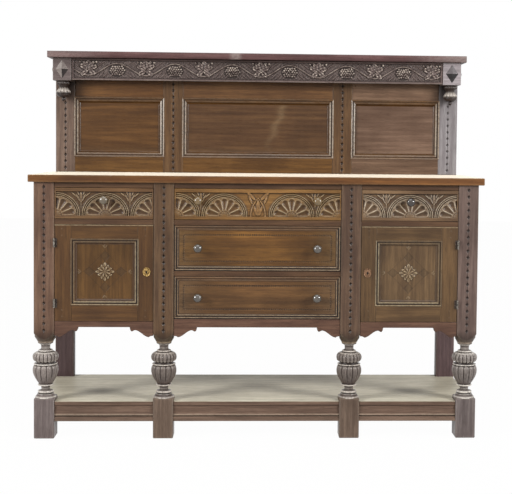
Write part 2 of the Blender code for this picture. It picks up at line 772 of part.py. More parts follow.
def add_canopy():
    """The top board, the carved frieze board and the two corner blocks with their pendants."""
    edge = HALF + CANOPY_SIDE
    low = (-edge, BLOCK_FRONT - CANOPY_FRONT, CANOPY_Z)
    add_box("canopy_top", low, (edge, GALLERY_BACK + CANOPY_BACK, CANOPY_Z + CANOPY_THICK), OAK)
    end = HALF - BLOCK_WIDTH - FIT
    face = BLOCK_FRONT + FRIEZE_SETBACK
    low = (-end, face, BLOCK_Z + FRIEZE_LIFT)
    add_box("canopy_frieze", low, (end, face + FRIEZE_THICK, BLOCK_TOP), OAK)
    pendant = turned_mesh("pendant", pendant_turning(), TURNING_STEPS)
    boss = boss_mesh("boss")
    middle = (BLOCK_Z + BLOCK_TOP) / 2
    quarter = math.pi / 2
    for side, sign in SIDES:
        name = f"canopy_block_{side}"
        near, far = sorted((sign * (HALF - BLOCK_WIDTH), sign * HALF))
        low = (near, BLOCK_FRONT, BLOCK_Z)
        block = add_box(name, low, (far, GALLERY_FRONT - FIT, BLOCK_TOP), OAK)
        across = (near + far) / 2
        back = BLOCK_FRONT + BLOCK_DEPTH / 2
        drop = add_cutter(f"pendant_{side}", pendant, (across, back, 0))
        front = add_cutter(f"boss_front_{side}", boss, (across, BLOCK_FRONT, middle), (quarter, 0, 0))
        turn = (quarter, 0, sign * quarter)
        outer = add_cutter(f"boss_side_{side}", boss, (sign * HALF, back, middle), turn)
        for shape in (drop, front, outer):
            change(block, shape, "UNION")


def add_pivot(name, location):
    """An empty on the axis of a moving piece."""
    pivot = bpy.data.objects.new(name, None)
    pivot.location = location
    SIDEBOARD.objects.link(pivot)
    return pivot


def round_cutter(name, radius, length, steps, location):
    """A cylinder along Y, to cut a round hole or join a round pin."""
    shape = bmesh.new()
    bmesh.ops.create_cone(shape, cap_ends=True, segments=steps, radius1=radius, radius2=radius, depth=length)
    mesh = bpy.data.meshes.new(name)
    shape.to_mesh(mesh)
    shape.free()
    return add_cutter(name, mesh, location, (math.pi / 2, 0, 0))


def add_door(side, sign):
    """A framed and panelled door with its hinges and lock. It swings on its outer edge."""
    hinge_x = sign * (BAY_OUTER - FIT - LEAF_THICK / 2)
    pivot = add_pivot(f"door_{side}_pivot", (hinge_x, FRONT - HINGE_PROUD, DOOR_Z))
    left, right = sorted((sign * (BAY_INNER + DOOR_GAP), sign * (BAY_OUTER - DOOR_GAP)))
    bottom = DOOR_Z + DOOR_GAP
    top = SHELF_Z - DOOR_GAP
    frame = add_box(f"door_frame_{side}", (left, DOOR_FRONT, bottom), (right, DOOR_BACK, top), OAK, pivot)
    window = (left + DOOR_STILE, right - DOOR_STILE, bottom + DOOR_RAIL, top - DOOR_RAIL)
    rebate_face = DOOR_BACK - DOOR_REBATE_DEPTH
    low = (window[0] - DOOR_REBATE, rebate_face, window[2] - DOOR_REBATE)
    high = (window[1] + DOOR_REBATE, DOOR_BACK + PAST, window[3] + DOOR_REBATE)
    cut_boxes(frame, [(low, high)])
    hole = boxes_mesh(f"door_window_{side}", [
        ((window[0], DOOR_FRONT - PAST, window[2]), (window[1], rebate_face + PAST, window[3])),
    ])
    change(frame, add_cutter(f"door_window_{side}", hole), "DIFFERENCE")
    low = (low[0] + FIT, rebate_face + FIT, low[2] + FIT)
    high = (high[0] - FIT, rebate_face + FIT + DOOR_PANEL_THICK, high[2] - FIT)
    add_box(f"door_panel_{side}", low, high, PANEL_OAK, pivot)
    add_lock(side, sign, frame, pivot)
    for level, middle in (("lower", bottom + HINGE_INSET), ("upper", top - HINGE_INSET)):
        add_hinge(f"hinge_{side}_{level}", hinge_x, middle)


def add_hinge(name, axis_x, middle):
    """A steel butt hinge: its leaf lies on the post's edge, and its knuckle stands proud in front."""
    near = axis_x - LEAF_THICK / 2
    low = (near, FRONT - HINGE_PROUD, middle - HINGE_HEIGHT / 2)
    high = (near + LEAF_THICK, FRONT + LEAF_DEPTH, middle + HINGE_HEIGHT / 2)
    shape = bmesh.new()
    bmesh.ops.create_cone(
        shape, cap_ends=True, segments=HINGE_STEPS, radius1=HINGE_RADIUS, radius2=HINGE_RADIUS,
        depth=HINGE_HEIGHT)
    mesh = bpy.data.meshes.new(name)
    shape.to_mesh(mesh)
    shape.free()
    hinge = add_part(name, mesh, STEEL, (axis_x, FRONT - HINGE_PROUD, middle))
    inset = (0, 0, FIT)
    leaf = (tuple(a + b for a, b in zip(low, inset)), tuple(a - b for a, b in zip(high, inset)))
    join_boxes(hinge, [leaf])


def add_lock(side, sign, frame, pivot):
    """A lock on the back of the door, its brass shield in front, and the bolt that slides in it."""
    across = sign * (BAY_INNER + LOCK_INSET)
    height = DOOR_Z + LOCK_HEIGHT
    edge = sign * (BAY_INNER + DOOR_GAP + LOCK_SETBACK)
    case_face = DOOR_BACK + FIT
    left, right = sorted((edge, edge + sign * LOCK_WIDTH))
    low = (left, case_face, height - LOCK_BELOW)
    high = (right, case_face + LOCK_THICK, height + LOCK_ABOVE)
    lock = add_box(f"lock_case_{side}", low, high, BRASS, pivot)
    bolt_y = case_face + LOCK_THICK / 2
    bolt_z = height + BOLT_LIFT
    left, right = sorted((edge, edge + sign * BOLT_LENGTH))
    low = (left, bolt_y - BOLT_THICK / 2, bolt_z - BOLT_HEIGHT / 2)
    high = (right, bolt_y + BOLT_THICK / 2, bolt_z + BOLT_HEIGHT / 2)
    add_box(f"lock_bolt_{side}", low, high, STEEL, pivot)
    slot_low, slot_high = with_clearance((low, high))
    left, right = sorted((edge - sign * PAST, edge + sign * (BOLT_LENGTH + FIT)))
    cut_boxes(lock, [((left, *slot_low[1:]), (right, *slot_high[1:]))])
    face = DOOR_FRONT - FIT
    start = face - SHIELD_THICK / 2
    barrel_length = case_face + BURY - start
    barrel_middle = (case_face + BURY + start) / 2
    barrel = round_cutter(
        f"barrel_{side}", BARREL_RADIUS, barrel_length, LOCK_STEPS, (across, barrel_middle, height))
    shield = round_cutter(
        f"shield_{side}", SHIELD_WIDTH / 2, SHIELD_THICK, LOCK_STEPS, (across, start, height))
    shield.scale = (1, SHIELD_HEIGHT / SHIELD_WIDTH, 1)
    change(lock, barrel, "UNION")
    change(lock, shield, "UNION")
    hole = round_cutter(
        f"keyhole_{side}", BARREL_RADIUS + FIT, DOOR_THICK + 2 * PAST, LOCK_STEPS,
        (across, (DOOR_FRONT + DOOR_BACK) / 2, height))
    change(frame, hole, "DIFFERENCE")
    room = STRIKE_CLEARANCE
    strike_depth = BOLT_TRAVEL - LOCK_SETBACK - DOOR_GAP + room
    left, right = sorted((sign * (BAY_INNER + PAST), sign * (BAY_INNER - strike_depth)))
    first = (left, low[1] - room, low[2] - room)
    MORTISES[f"front_post_{side}_inner"].append((first, (right, high[1] + room, high[2] + room)))


def knob_turning():
    """A turned knob on Z: domed face, waist, base and the spigot that is glued into the front."""
    low = KNOB_BASE_HEIGHT + KNOB_NECK_HEIGHT
    widest = KNOB_LENGTH - KNOB_DOME_HEIGHT
    points = []
    for step in range(KNOB_POINTS + 1):
        turn = step / KNOB_POINTS * math.pi / 2
        points.append((KNOB_RADIUS * math.sin(turn), widest + KNOB_DOME_HEIGHT * math.cos(turn)))
    points += [
        (KNOB_HEEL_RADIUS, low + KNOB_HEEL_HEIGHT),
        (KNOB_NECK_RADIUS, low),
        (KNOB_NECK_RADIUS, KNOB_BASE_HEIGHT),
        (KNOB_BASE_RADIUS, KNOB_BASE_HEIGHT / 2),
        (KNOB_BASE_RADIUS, 0),
        (SPIGOT_RADIUS, 0),
        (SPIGOT_RADIUS, -SPIGOT_LENGTH),
        (0, -SPIGOT_LENGTH),
    ]
    return points


def add_drawer(name, left, right, bottom, top, knobs, knob_height, material):
    """A drawer: its front, the box behind it and its knobs. It slides out along -Y."""
    middle = (left + right) / 2
    pivot = add_pivot(f"{name}_slide", (middle, DRAWER_FACE, (bottom + top) / 2))
    low = (left + DRAWER_GAP, DRAWER_FACE, bottom + DRAWER_GAP)
    high = (right - DRAWER_GAP, DRAWER_FRONT_BACK, top - DRAWER_GAP)
    front = add_box(f"{name}_front", low, high, material, pivot)
    low = (left + DRAWER_SIDE_GAP, DRAWER_FRONT_BACK + FIT, bottom + FIT)
    high = (right - DRAWER_SIDE_GAP, BACK_FACE - DRAWER_BACK_GAP, top - DRAWER_HEADROOM)
    box = add_box(f"{name}_box", low, high, PLAIN_OAK, pivot)
    side = DRAWER_SIDE_THICK
    first = (low[0] + side, low[1] + side, low[2] + DRAWER_BOTTOM_THICK)
    cut_boxes(box, [(first, (high[0] - side, high[1] - side, high[2] + PAST))])
    for suffix, across in knobs:
        place = (across, DRAWER_FACE - FIT, knob_height)
        shape = turned_mesh(f"{name}_knob{suffix}", knob_turning(), KNOB_STEPS)
        add_part(f"{name}_knob{suffix}", shape, KNOB_OAK, place, (math.pi / 2, 0, 0), pivot)
        depth = SPIGOT_LENGTH + PAST
        middle = (across, DRAWER_FACE + (SPIGOT_LENGTH - PAST) / 2, knob_height)
        hole = round_cutter(f"{name}_hole{suffix}", SPIGOT_RADIUS + FIT, depth, KNOB_STEPS, middle)
        change(front, hole, "DIFFERENCE")


def add_drawers():
    """Three frieze drawers over the case, and two deeper drawers between the cupboards."""
    half = CENTRE_BAY / 2
    pair = (("_left", KNOB_INSET - half), ("_right", half - KNOB_INSET))
    frieze_knob = FRIEZE_Z + FRIEZE_OPENING / 2 + FRIEZE_KNOB_RISE
    for side, sign in SIDES:
        left, right = sorted((sign * BAY_INNER, sign * BAY_OUTER))
        one = (("", sign * BAY_MIDDLE),)
        add_drawer(f"drawer_frieze_{side}", left, right, FRIEZE_Z, TOP_RAIL_Z, one, frieze_knob, OAK)
    add_drawer("drawer_frieze_centre", -half, half, FRIEZE_Z, TOP_RAIL_Z, pair, frieze_knob, OAK)
    levels = (("upper", UPPER_DRAWER_Z, SHELF_Z), ("lower", BOTTOM_TOP, RAIL_Z))
    for level, bottom, top in levels:
        add_drawer(f"drawer_{level}", -half, half, bottom, top, pair, (bottom + top) / 2, PANEL_OAK)


for old in list(bpy.data.objects):
    bpy.data.objects.remove(old)
SIDEBOARD = new_collection("sideboard")
CUTTERS = new_collection("cutters")
OAK = finish("dark oak", (0.105, 0.052, 0.026), 0.42)
PANEL_OAK = finish("warm oak", (0.150, 0.072, 0.032), 0.38)
PLAIN_OAK = finish("plain oak", (0.260, 0.150, 0.075), 0.65)
WORN_OAK = finish("worn oak", (0.300, 0.250, 0.200), 0.50)
KNOB_OAK = finish("polished oak", (0.085, 0.050, 0.035), 0.30)
BRASS = finish("brass", (0.620, 0.420, 0.160), 0.35, 1.0)
STEEL = finish("steel", (0.300, 0.280, 0.260), 0.45, 1.0)
POST_NAMES = [f"front_post_{side}_{place}" for side, _ in SIDES for place in ("outer", "inner")]
MORTISES = {name: [] for name in POST_NAMES + ["back_post_left", "back_post_right"]}
add_potboard()
add_aprons()
add_case()
for door_side, door_sign in SIDES:
    add_door(door_side, door_sign)
add_drawers()
add_worktop()
add_gallery()
add_canopy()
add_posts()
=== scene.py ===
import math

import bpy
import numpy as np
from mathutils import Matrix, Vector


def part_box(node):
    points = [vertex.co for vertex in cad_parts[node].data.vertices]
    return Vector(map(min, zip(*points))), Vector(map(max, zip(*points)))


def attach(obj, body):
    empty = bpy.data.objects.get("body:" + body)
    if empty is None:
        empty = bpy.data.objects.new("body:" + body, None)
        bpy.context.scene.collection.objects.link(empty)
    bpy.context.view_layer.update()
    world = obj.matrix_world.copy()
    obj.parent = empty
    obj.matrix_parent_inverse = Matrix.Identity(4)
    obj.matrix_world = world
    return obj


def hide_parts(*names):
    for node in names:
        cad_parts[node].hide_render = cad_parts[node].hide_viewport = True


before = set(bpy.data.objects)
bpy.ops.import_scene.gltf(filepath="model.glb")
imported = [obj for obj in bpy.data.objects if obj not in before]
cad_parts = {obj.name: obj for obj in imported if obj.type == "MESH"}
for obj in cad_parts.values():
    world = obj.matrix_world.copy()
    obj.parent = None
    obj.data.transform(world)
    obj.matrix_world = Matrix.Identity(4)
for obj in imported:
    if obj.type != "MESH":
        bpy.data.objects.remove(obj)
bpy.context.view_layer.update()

# Front posts: four lengths of oak, each left square at the foot and the stile and turned between them into a
# cup and cover with carved lobes. A line of notches is chip-carved up the front of each stile. The legs have
# lost most of their stain, and the arrises are rubbed pale.

mm = 0.001
SIDES = (("left", -1), ("right", 1))
# Open pores, old wax in the hollows that also serves as painted shade, and the dust on level boards
OPEN_PORE, OLD_WAX_AND_SHADE, DUST = "#22150d", "#160d08", "#fbf3e2"


def linear(colour):
    """An sRGB hex colour as linear red, green, blue and alpha."""
    parts = np.array([int(colour[start:start + 2], 16) for start in (1, 3, 5)]) / 255
    curve = np.where(parts <= 0.04045, parts / 12.92, ((parts + 0.055) / 1.055) ** 2.4)
    return (*(float(part) for part in curve), 1.0)


def add_node(tree, kind, inputs=None, **settings):
    """Add a shader node. Settings go on the node, and an input is a constant or the socket that feeds it."""
    node = tree.nodes.new("ShaderNode" + kind)
    for name, value in settings.items():
        setattr(node, name, value)
    for name, value in (inputs or {}).items():
        if isinstance(value, bpy.types.NodeSocket):
            tree.links.new(value, node.inputs[name])
        else:
            node.inputs[name].default_value = value
    return node


def oak(name, grain, dark, mid, pale, rub, polish, seed, bloom=0.0, shine=0.24):
    """Quarter-sawn oak, stained and waxed over many years: a streaky brown with a low gloss.

    Streaks 13 mm wide run 260 mm along the grain axis between the dark and the pale stain. Pores, drawn 2 mm
    wide so that they show, darken them. The stain is mottled over 26 by 150 mm and cloudy over 170 mm. The
    piece's own wear mark bares paler wood in patches and in places is a painted highlight, its soot mark is
    old wax in the hollows and in places painted shade, and its tone mark sets one board off another and in
    places paints light and shade. A bloom is the pale veil that dust and wax leave on a level board, seen
    along it.
    """
    material = bpy.data.materials.new(name)
    material.use_nodes = True
    tree = material.node_tree
    shader = tree.nodes["Principled BSDF"]
    place = add_node(tree, "TexCoord").outputs["Object"]
    # Of each pattern: millimetres across and along the grain, detail, and where in the noise it starts
    patterns = {"figure": (13, 260, 4.0, 0.0), "pores": (2, 34, 2.0, 3.7), "haze": (170, 210, 2.0, 7.1),
                "mottle": (26, 150, 4.0, 5.3), "patches": (7, 16, 3.0, 1.3)}
    noise = {}
    for pattern, (across, along, detail, start) in patterns.items():
        scale = [1000 / across] * 3
        scale[grain] = 1000 / along
        spot = add_node(tree, "Mapping", {"Vector": place, "Location": (start, seed, start), "Scale": scale})
        field = {"Vector": spot.outputs[0], "Scale": 1.0, "Detail": detail, "Roughness": 0.6}
        noise[pattern] = add_node(tree, "TexNoise", field).outputs["Fac"]
    # Of each stain: its pattern, the levels between which it comes in, its least and most share, its colour
    stains = [("figure", 0.32, 0.58, 0.35, 1.0, mid), ("figure", 0.50, 0.78, 0.0, 0.55, pale),
              ("haze", 0.46, 0.66, 0.0, 0.5, dark), ("mottle", 0.52, 0.66, 0.0, 0.2, dark),
              ("mottle", 0.48, 0.34, 0.0, 0.16, pale), ("pores", 0.54, 0.72, 0.0, 0.45, OPEN_PORE)]
    colour = linear(dark)
    for pattern, low, high, least, most, stain in stains:
        part = {"Value": noise[pattern], "From Min": low, "From Max": high, "To Min": least, "To Max": most}
        part = add_node(tree, "MapRange", part).outputs[0]
        colour = add_node(tree, "Mix", {0: part, 6: colour, 7: linear(stain)}, data_type="RGBA").outputs[2]
    tone, wear, soot = (add_node(tree, "Attribute", attribute_name=mark).outputs["Fac"]
                        for mark in ("tone", "wear", "soot"))
    lift = add_node(tree, "Math", {0: tone, 1: 1.0}, operation="ADD").outputs[0]
    colour = add_node(tree, "HueSaturation", {"Value": lift, "Color": colour}).outputs[0]
    patchy = {"Value": noise["patches"], "From Min": 0.34, "From Max": 0.56, "To Min": 0.45, "To Max": 1.0}
    patchy = add_node(tree, "MapRange", patchy).outputs[0]
    bare = add_node(tree, "Math", {0: wear, 1: patchy}, operation="MULTIPLY").outputs[0]
    waxed = {"Value": soot, "From Min": 0.0, "From Max": 1.0, "To Min": 0.0, "To Max": 0.85}
    waxed = add_node(tree, "MapRange", waxed).outputs[0]
    for part, coat in ((bare, rub), (waxed, OLD_WAX_AND_SHADE)):
        colour = add_node(tree, "Mix", {0: part, 6: colour, 7: linear(coat)}, data_type="RGBA").outputs[2]
    tree.links.new(colour, shader.inputs["Base Color"])
    gloss = {"Value": noise["pores"], "From Min": 0.3, "From Max": 0.75,
             "To Min": polish - 0.06, "To Max": polish + 0.16}
    tree.links.new(add_node(tree, "MapRange", gloss).outputs[0], shader.inputs["Roughness"])
    shader.inputs["Specular IOR Level"].default_value = shine
    shader.inputs["Sheen Weight"].default_value = bloom
    shader.inputs["Sheen Roughness"].default_value = 0.35
    shader.inputs["Sheen Tint"].default_value = linear(DUST)
    rise = {"Strength": 0.35, "Distance": 0.5 * mm, "Height": noise["pores"]}
    tree.links.new(add_node(tree, "Bump", rise, invert=True).outputs[0], shader.inputs["Normal"])
    return material


def grid_faces(rows, columns, round_rows=False, round_columns=True):
    """Quads of a grid of points held row by row, closed across its rows or columns where it goes round."""
    index = np.arange(rows * columns).reshape(rows, columns)
    if round_columns:
        index = np.hstack([index, index[:, :1]])
    if round_rows:
        index = np.vstack([index, index[:1]])
    corners = [index[:-1, :-1], index[:-1, 1:], index[1:, 1:], index[1:, :-1]]
    return np.stack(corners, axis=-1).reshape(-1, 4).tolist()


def shell(grid, marks=None):
    """Points, faces and marks of a grid that goes round, with a flat cap on its first and its last row."""
    rows, columns = grid.shape[:2]
    caps = [list(range(columns))[::-1], list(range((rows - 1) * columns, rows * columns))]
    return grid.reshape(-1, 3), grid_faces(rows, columns) + caps, marks or {}


def joined(shells):
    """Several (points, faces, marks) as one."""
    starts = np.cumsum([0] + [len(points) for points, _, _ in shells])
    points = np.vstack([points for points, _, _ in shells])
    faces = [[corner + start for corner in face]
             for start, (_, some, _) in zip(starts, shells) for face in some]
    marks = {}
    for name in ("wear", "soot", "tone"):
        runs = [np.broadcast_to(own.get(name, 0.0), len(some)) for some, _, own in shells]
        marks[name] = np.concatenate(runs)
    return points, faces, marks


def piece(name, made, material, body, slot, nodes=(), sharp=38, **own_marks):
    """One finished object: its points, faces and marks as a mesh, with its own marks in place of those, its
    material, the body that carries it and the nodes that it replaces."""
    points, faces, marks = made
    mesh = bpy.data.meshes.new(name)
    mesh.from_pydata(points, [], faces)
    for mark, values in {**marks, **own_marks}.items():
        layer = mesh.attributes.new(mark, "FLOAT", "POINT")
        layer.data.foreach_set("value", np.broadcast_to(values, len(points)).astype(np.float32))
    mesh.shade_smooth()
    mesh.set_sharp_from_angle(angle=math.radians(sharp))
    mesh.materials.append(material)
    thing = bpy.data.objects.new(name, mesh)
    bpy.context.scene.collection.objects.link(thing)
    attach(thing, body)
    if nodes:
        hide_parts(*nodes)
    return thing


def worn(height, cells, reach, crest):
    """Wear on ridges and soot in hollows: a surface's height less its own average over about the reach."""
    up = np.fft.fftfreq(height.shape[0], cells[0])[:, None]
    across = np.fft.rfftfreq(height.shape[1], cells[1])[None]
    blur = np.exp(-2 * (math.pi * reach) ** 2 * (up ** 2 + across ** 2))
    rise = height - np.fft.irfft2(np.fft.rfft2(height) * blur, s=height.shape)
    return {"wear": np.clip(rise / crest, 0, 1).ravel(), "soot": np.clip(-rise / crest, 0, 1).ravel()}


BOX_POINTS = 48


def box_points(boxes, cut, margin):
    """The points of each box, given by its low and high corner, with its edges cut off. Point (axis, side, b,
    c, ring) is on the face at that end of the axis, at the corner b, c, on the cut or, for ring 1, inside it
    by the margin."""
    axis, side, b, c, ring = np.indices((3, 2, 2, 2, 2)).reshape(5, -1)
    signs = np.zeros((BOX_POINTS, 3))
    inset = np.zeros((BOX_POINTS, 3))
    rows = np.arange(BOX_POINTS)
    for turn, value in ((0, side), (1, b), (2, c)):
        signs[rows, (axis + turn) % 3] = 2 * value - 1
        if turn:
            inset[rows, (axis + turn) % 3] = cut + margin * ring
    boxes = np.asarray(boxes, float)
    middle = boxes.mean(1)[:, None]
    half = (boxes[:, 1] - boxes[:, 0])[:, None] / 2
    return (middle + signs * (half - inset)).reshape(-1, 3)


def box_faces():
    """Faces of such a box: six in a frame of four strips each, twelve cut edges and eight cut corners."""
    index = np.arange(BOX_POINTS).reshape(3, 2, 2, 2, 2)
    loop = ((0, 0), (1, 0), (1, 1), (0, 1))
    faces = []
    for axis in range(3):
        for side in range(2):
            rim = [index[axis, side, b, c, 0] for b, c in loop]
            inner = [index[axis, side, b, c, 1] for b, c in loop]
            faces.append(inner)
            faces += [[rim[k], rim[k - 3], inner[k - 3], inner[k]] for k in range(4)]
    for edge in range(3):
        a, b = (edge + 1) % 3, (edge + 2) % 3
        for one, two in loop:
            faces.append([index[a, one, two, 0, 0], index[a, one, two, 1, 0],
                          index[b, two, 1, one, 0], index[b, two, 0, one, 0]])
    for x, y, z in np.indices((2, 2, 2)).reshape(3, -1).T:
        faces.append([index[0, x, y, z, 0], index[1, y, z, x, 0], index[2, z, x, y, 0]])
    unit = box_points([[[-1, -1, -1], [1, 1, 1]]], 0.1, 0.1)
    outward = []
    for face in faces:
        corner, second, third = unit[face[0]], unit[face[1]], unit[face[2]]
        inside = np.dot(np.cross(second - corner, third - corner), unit[face].mean(0)) < 0
        outward.append(face[::-1] if inside else face)
    return outward


BOX_FACES = box_faces()


def box_shell(boxes, cut=1.2 * mm, margin=3.0 * mm, rub=0.25, seed=1):
    """Sawn and planed boards as one shell each, rubbed along their arrises, no two of quite the same tone."""
    faces = [[int(corner) + BOX_POINTS * board for corner in face]
             for board in range(len(boxes)) for face in BOX_FACES]
    ring = np.tile(np.arange(BOX_POINTS) % 2, len(boxes))
    tones = np.random.default_rng(seed).uniform(-0.09, 0.09, len(boxes))
    marks = {"wear": rub * (1 - ring), "tone": np.repeat(tones, BOX_POINTS)}
    return box_points(boxes, cut, margin), faces, marks


def turns(count):
    """The angles of so many points round a turned piece."""
    return np.arange(count) * 2 * np.pi / count


def bulge(low, high, start, widest, end, share, count):
    """(height, radius) up a turned bulb: a quarter ellipse out to its widest, and another back in."""
    part = np.linspace(0, 1, count)
    rising = start + (widest - start) * np.sqrt(np.clip(1 - (1 - part / share) ** 2, 0, 1))
    falling = end + (widest - end) * np.sqrt(np.clip(1 - ((part - share) / (1 - share)) ** 2, 0, 1))
    return np.column_stack([low + (high - low) * part, np.where(part < share, rising, falling)])


def goblet(low, high, start, widest, end, share, count):
    """(height, radius) up a cup: it opens in a long curve from its foot and leans in a little at its lip."""
    part = np.linspace(0, 1, count)
    rising = start + (widest - start) * np.sin(np.clip(part / share, 0, 1) * np.pi / 2)
    falling = end + (widest - end) * np.cos(np.clip((part - share) / (1 - share), 0, 1) * np.pi / 2)
    return np.column_stack([low + (high - low) * part, np.where(part < share, rising, falling)])


def slope(low, high, start, end, count):
    """(height, radius) along a curve that leaves one radius and meets the next one level."""
    part = np.linspace(0, 1, count)
    radius = start + (end - start) * (1 - np.cos(part * np.pi)) / 2
    return np.column_stack([low + (high - low) * part, radius])


def lobes(turn, across_count, height, spring, tip, deep):
    """How deep carved lobes lie on a bulb: round across each, with a round arch from spring to tip."""
    across = 2 * np.mod(turn * across_count / (2 * np.pi) + 0.5, 1) - 1
    arch = np.clip((height - spring) / (tip - spring), 0, None)
    off = np.clip(np.hypot(across, arch), 0, 1)
    return deep * (1 - np.sqrt(1 - off ** 2))


NOTCH_PITCH, NOTCH_HALF_WIDTH, NOTCH_HALF_HEIGHT, NOTCH_DEEP = 25.6 * mm, 7.0 * mm, 10.5 * mm, 5.0 * mm
NOTCH_LINE_HALF_WIDTH, NOTCH_LINE_DEEP = 1.8 * mm, 1.3 * mm
SOOTED_NOTCH = 1.7 * mm


def notches(x, z, bottom, top):
    """Depth of a carved line: pyramid notches at an even pitch, on a thin line that runs through them."""
    count = max(1, round((top - bottom) / NOTCH_PITCH))
    step = (top - bottom) / count
    along = np.mod(z - bottom, step) - step / 2
    notch = NOTCH_DEEP * np.clip(1 - np.abs(x) / NOTCH_HALF_WIDTH - np.abs(along) / NOTCH_HALF_HEIGHT, 0, 1)
    line = NOTCH_LINE_DEEP * np.clip(1 - np.abs(x) / NOTCH_LINE_HALF_WIDTH, 0, 1)
    return np.where((z > bottom) & (z < top), np.maximum(notch, line), 0)


# Heights and radii on the legs are in millimetres
CUP, COVER = (199, 272), (281, 318.6)
CUP_ARCH, COVER_ARCH = (261, 271.5), (291, 282)
CUP_LOBES, COVER_LOBES, LOBE_DEEP = 13, 19, 5.0 * mm
CUP_TAPER, COVER_CLOSING = 30, 9
RINGS, NECKS, QUIRKS = (170, 195, 273.5, 322.3, 346.2), (181, 333), (164.3, 189.5, 278)
LEG_COLUMNS = 240
LEG_RUNS = [
    slope(148, 163, 38.5, 29.5, 9), slope(163.2, 165.6, 24.0, 24.0, 3),
    bulge(165.8, 174.2, 25.0, 28.8, 25.0, 0.5, 9),
    slope(174.4, 178, 22.0, 16.0, 5), slope(178.2, 187.4, 15.6, 16.4, 5), slope(187.6, 191.3, 17.0, 21.5, 4),
    bulge(191.5, 198.6, 24.0, 28.2, 24.5, 0.5, 9), goblet(*CUP, 24.5, 47.0, 42.4, 0.7, 46),
    bulge(272.2, 275.2, 42.6, 43.4, 41.0, 0.5, 6), slope(275.4, 280.6, 34.5, 33.5, 5),
    bulge(*COVER, 35.5, 47.4, 25.5, 0.5, 34), bulge(319, 325.6, 23.5, 26.6, 22.5, 0.5, 9),
    slope(325.8, 330, 20.0, 16.8, 5), slope(330.2, 344, 16.5, 16.8, 6),
    bulge(344.4, 348, 18.5, 20.4, 19.0, 0.5, 6), bulge(348.6, 353.2, 24.0, 27.6, 27.2, 0.6, 7),
]


def leg_shell(middle):
    """The turned leg on its axis: the runs of its profile carried round, less the lobes of the cup and cover.
    Rings are rubbed pale, the necks are painted pale as a painted highlight, and old wax lies in the quirks."""
    profile = np.vstack(LEG_RUNS) * mm
    turn = turns(LEG_COLUMNS)
    height, radius = profile[:, :1], profile[:, 1:]
    level = height / mm
    flat = np.zeros((len(profile), LEG_COLUMNS))
    cup = lobes(turn, CUP_LOBES, level, *CUP_ARCH, LOBE_DEEP)
    cover = lobes(turn + np.pi / COVER_LOBES, COVER_LOBES, -level, -COVER_ARCH[0], -COVER_ARCH[1], LOBE_DEEP)
    near = 0.1
    taper = np.clip((level - CUP[0] + near) / CUP_TAPER, 0.25, 1)
    closing = np.clip((COVER[1] + near - level) / COVER_CLOSING, 0.3, 1)
    sunk = np.where((level > CUP[0] - near) & (level < CUP[1] + near), cup * taper, flat)
    sunk = np.where((level > COVER[0] - near) & (level < COVER[1] + near), cover * closing, sunk)
    around = radius - sunk
    grid = np.stack([middle[0] + around * np.sin(turn), middle[1] - around * np.cos(turn), height + flat], -1)
    marks = worn(around, (1.2 * mm, 1.2 * mm), 2.2 * mm, 1.3 * mm)
    rubbed = sum(np.clip(1.4 - np.abs(level - ring) / 3.2, 0, 1) for ring in RINGS)
    # The necks' share is a painted highlight
    rubbed = rubbed + 0.8 * sum(np.clip(1 - np.abs(level - neck) / 8, 0, 1) for neck in NECKS)
    quirk = sum(np.clip(1.5 - np.abs(level - groove) / 1.6, 0, 1) for groove in QUIRKS)
    marks["wear"] = np.clip(0.75 * marks["wear"] + 0.5 * (rubbed + flat).ravel(), 0, 1)
    marks["soot"] = np.clip(marks["soot"] + 0.8 * (quirk + flat).ravel(), 0, 1)
    return shell(grid, marks)


POST, POST_CORNER = 74 * mm, 2.0 * mm
FOOT_TOP = 150 * mm
SHOULDER_BOTTOM, SHOULDER_TOP = 353 * mm, 393 * mm
SHOULDER_RADIUS, SHOULDER_FLARE = 27.4 * mm, 25 * mm
SHOULDER_LIP, SHOULDER_DARK_LOW, SHOULDER_DARK_HIGH = 363, 354, 405
STRIKE_DEPTH, STRIKE_ROOM, STRIKE_LIP = 7.0 * mm, 1.0 * mm, 0.2 * mm


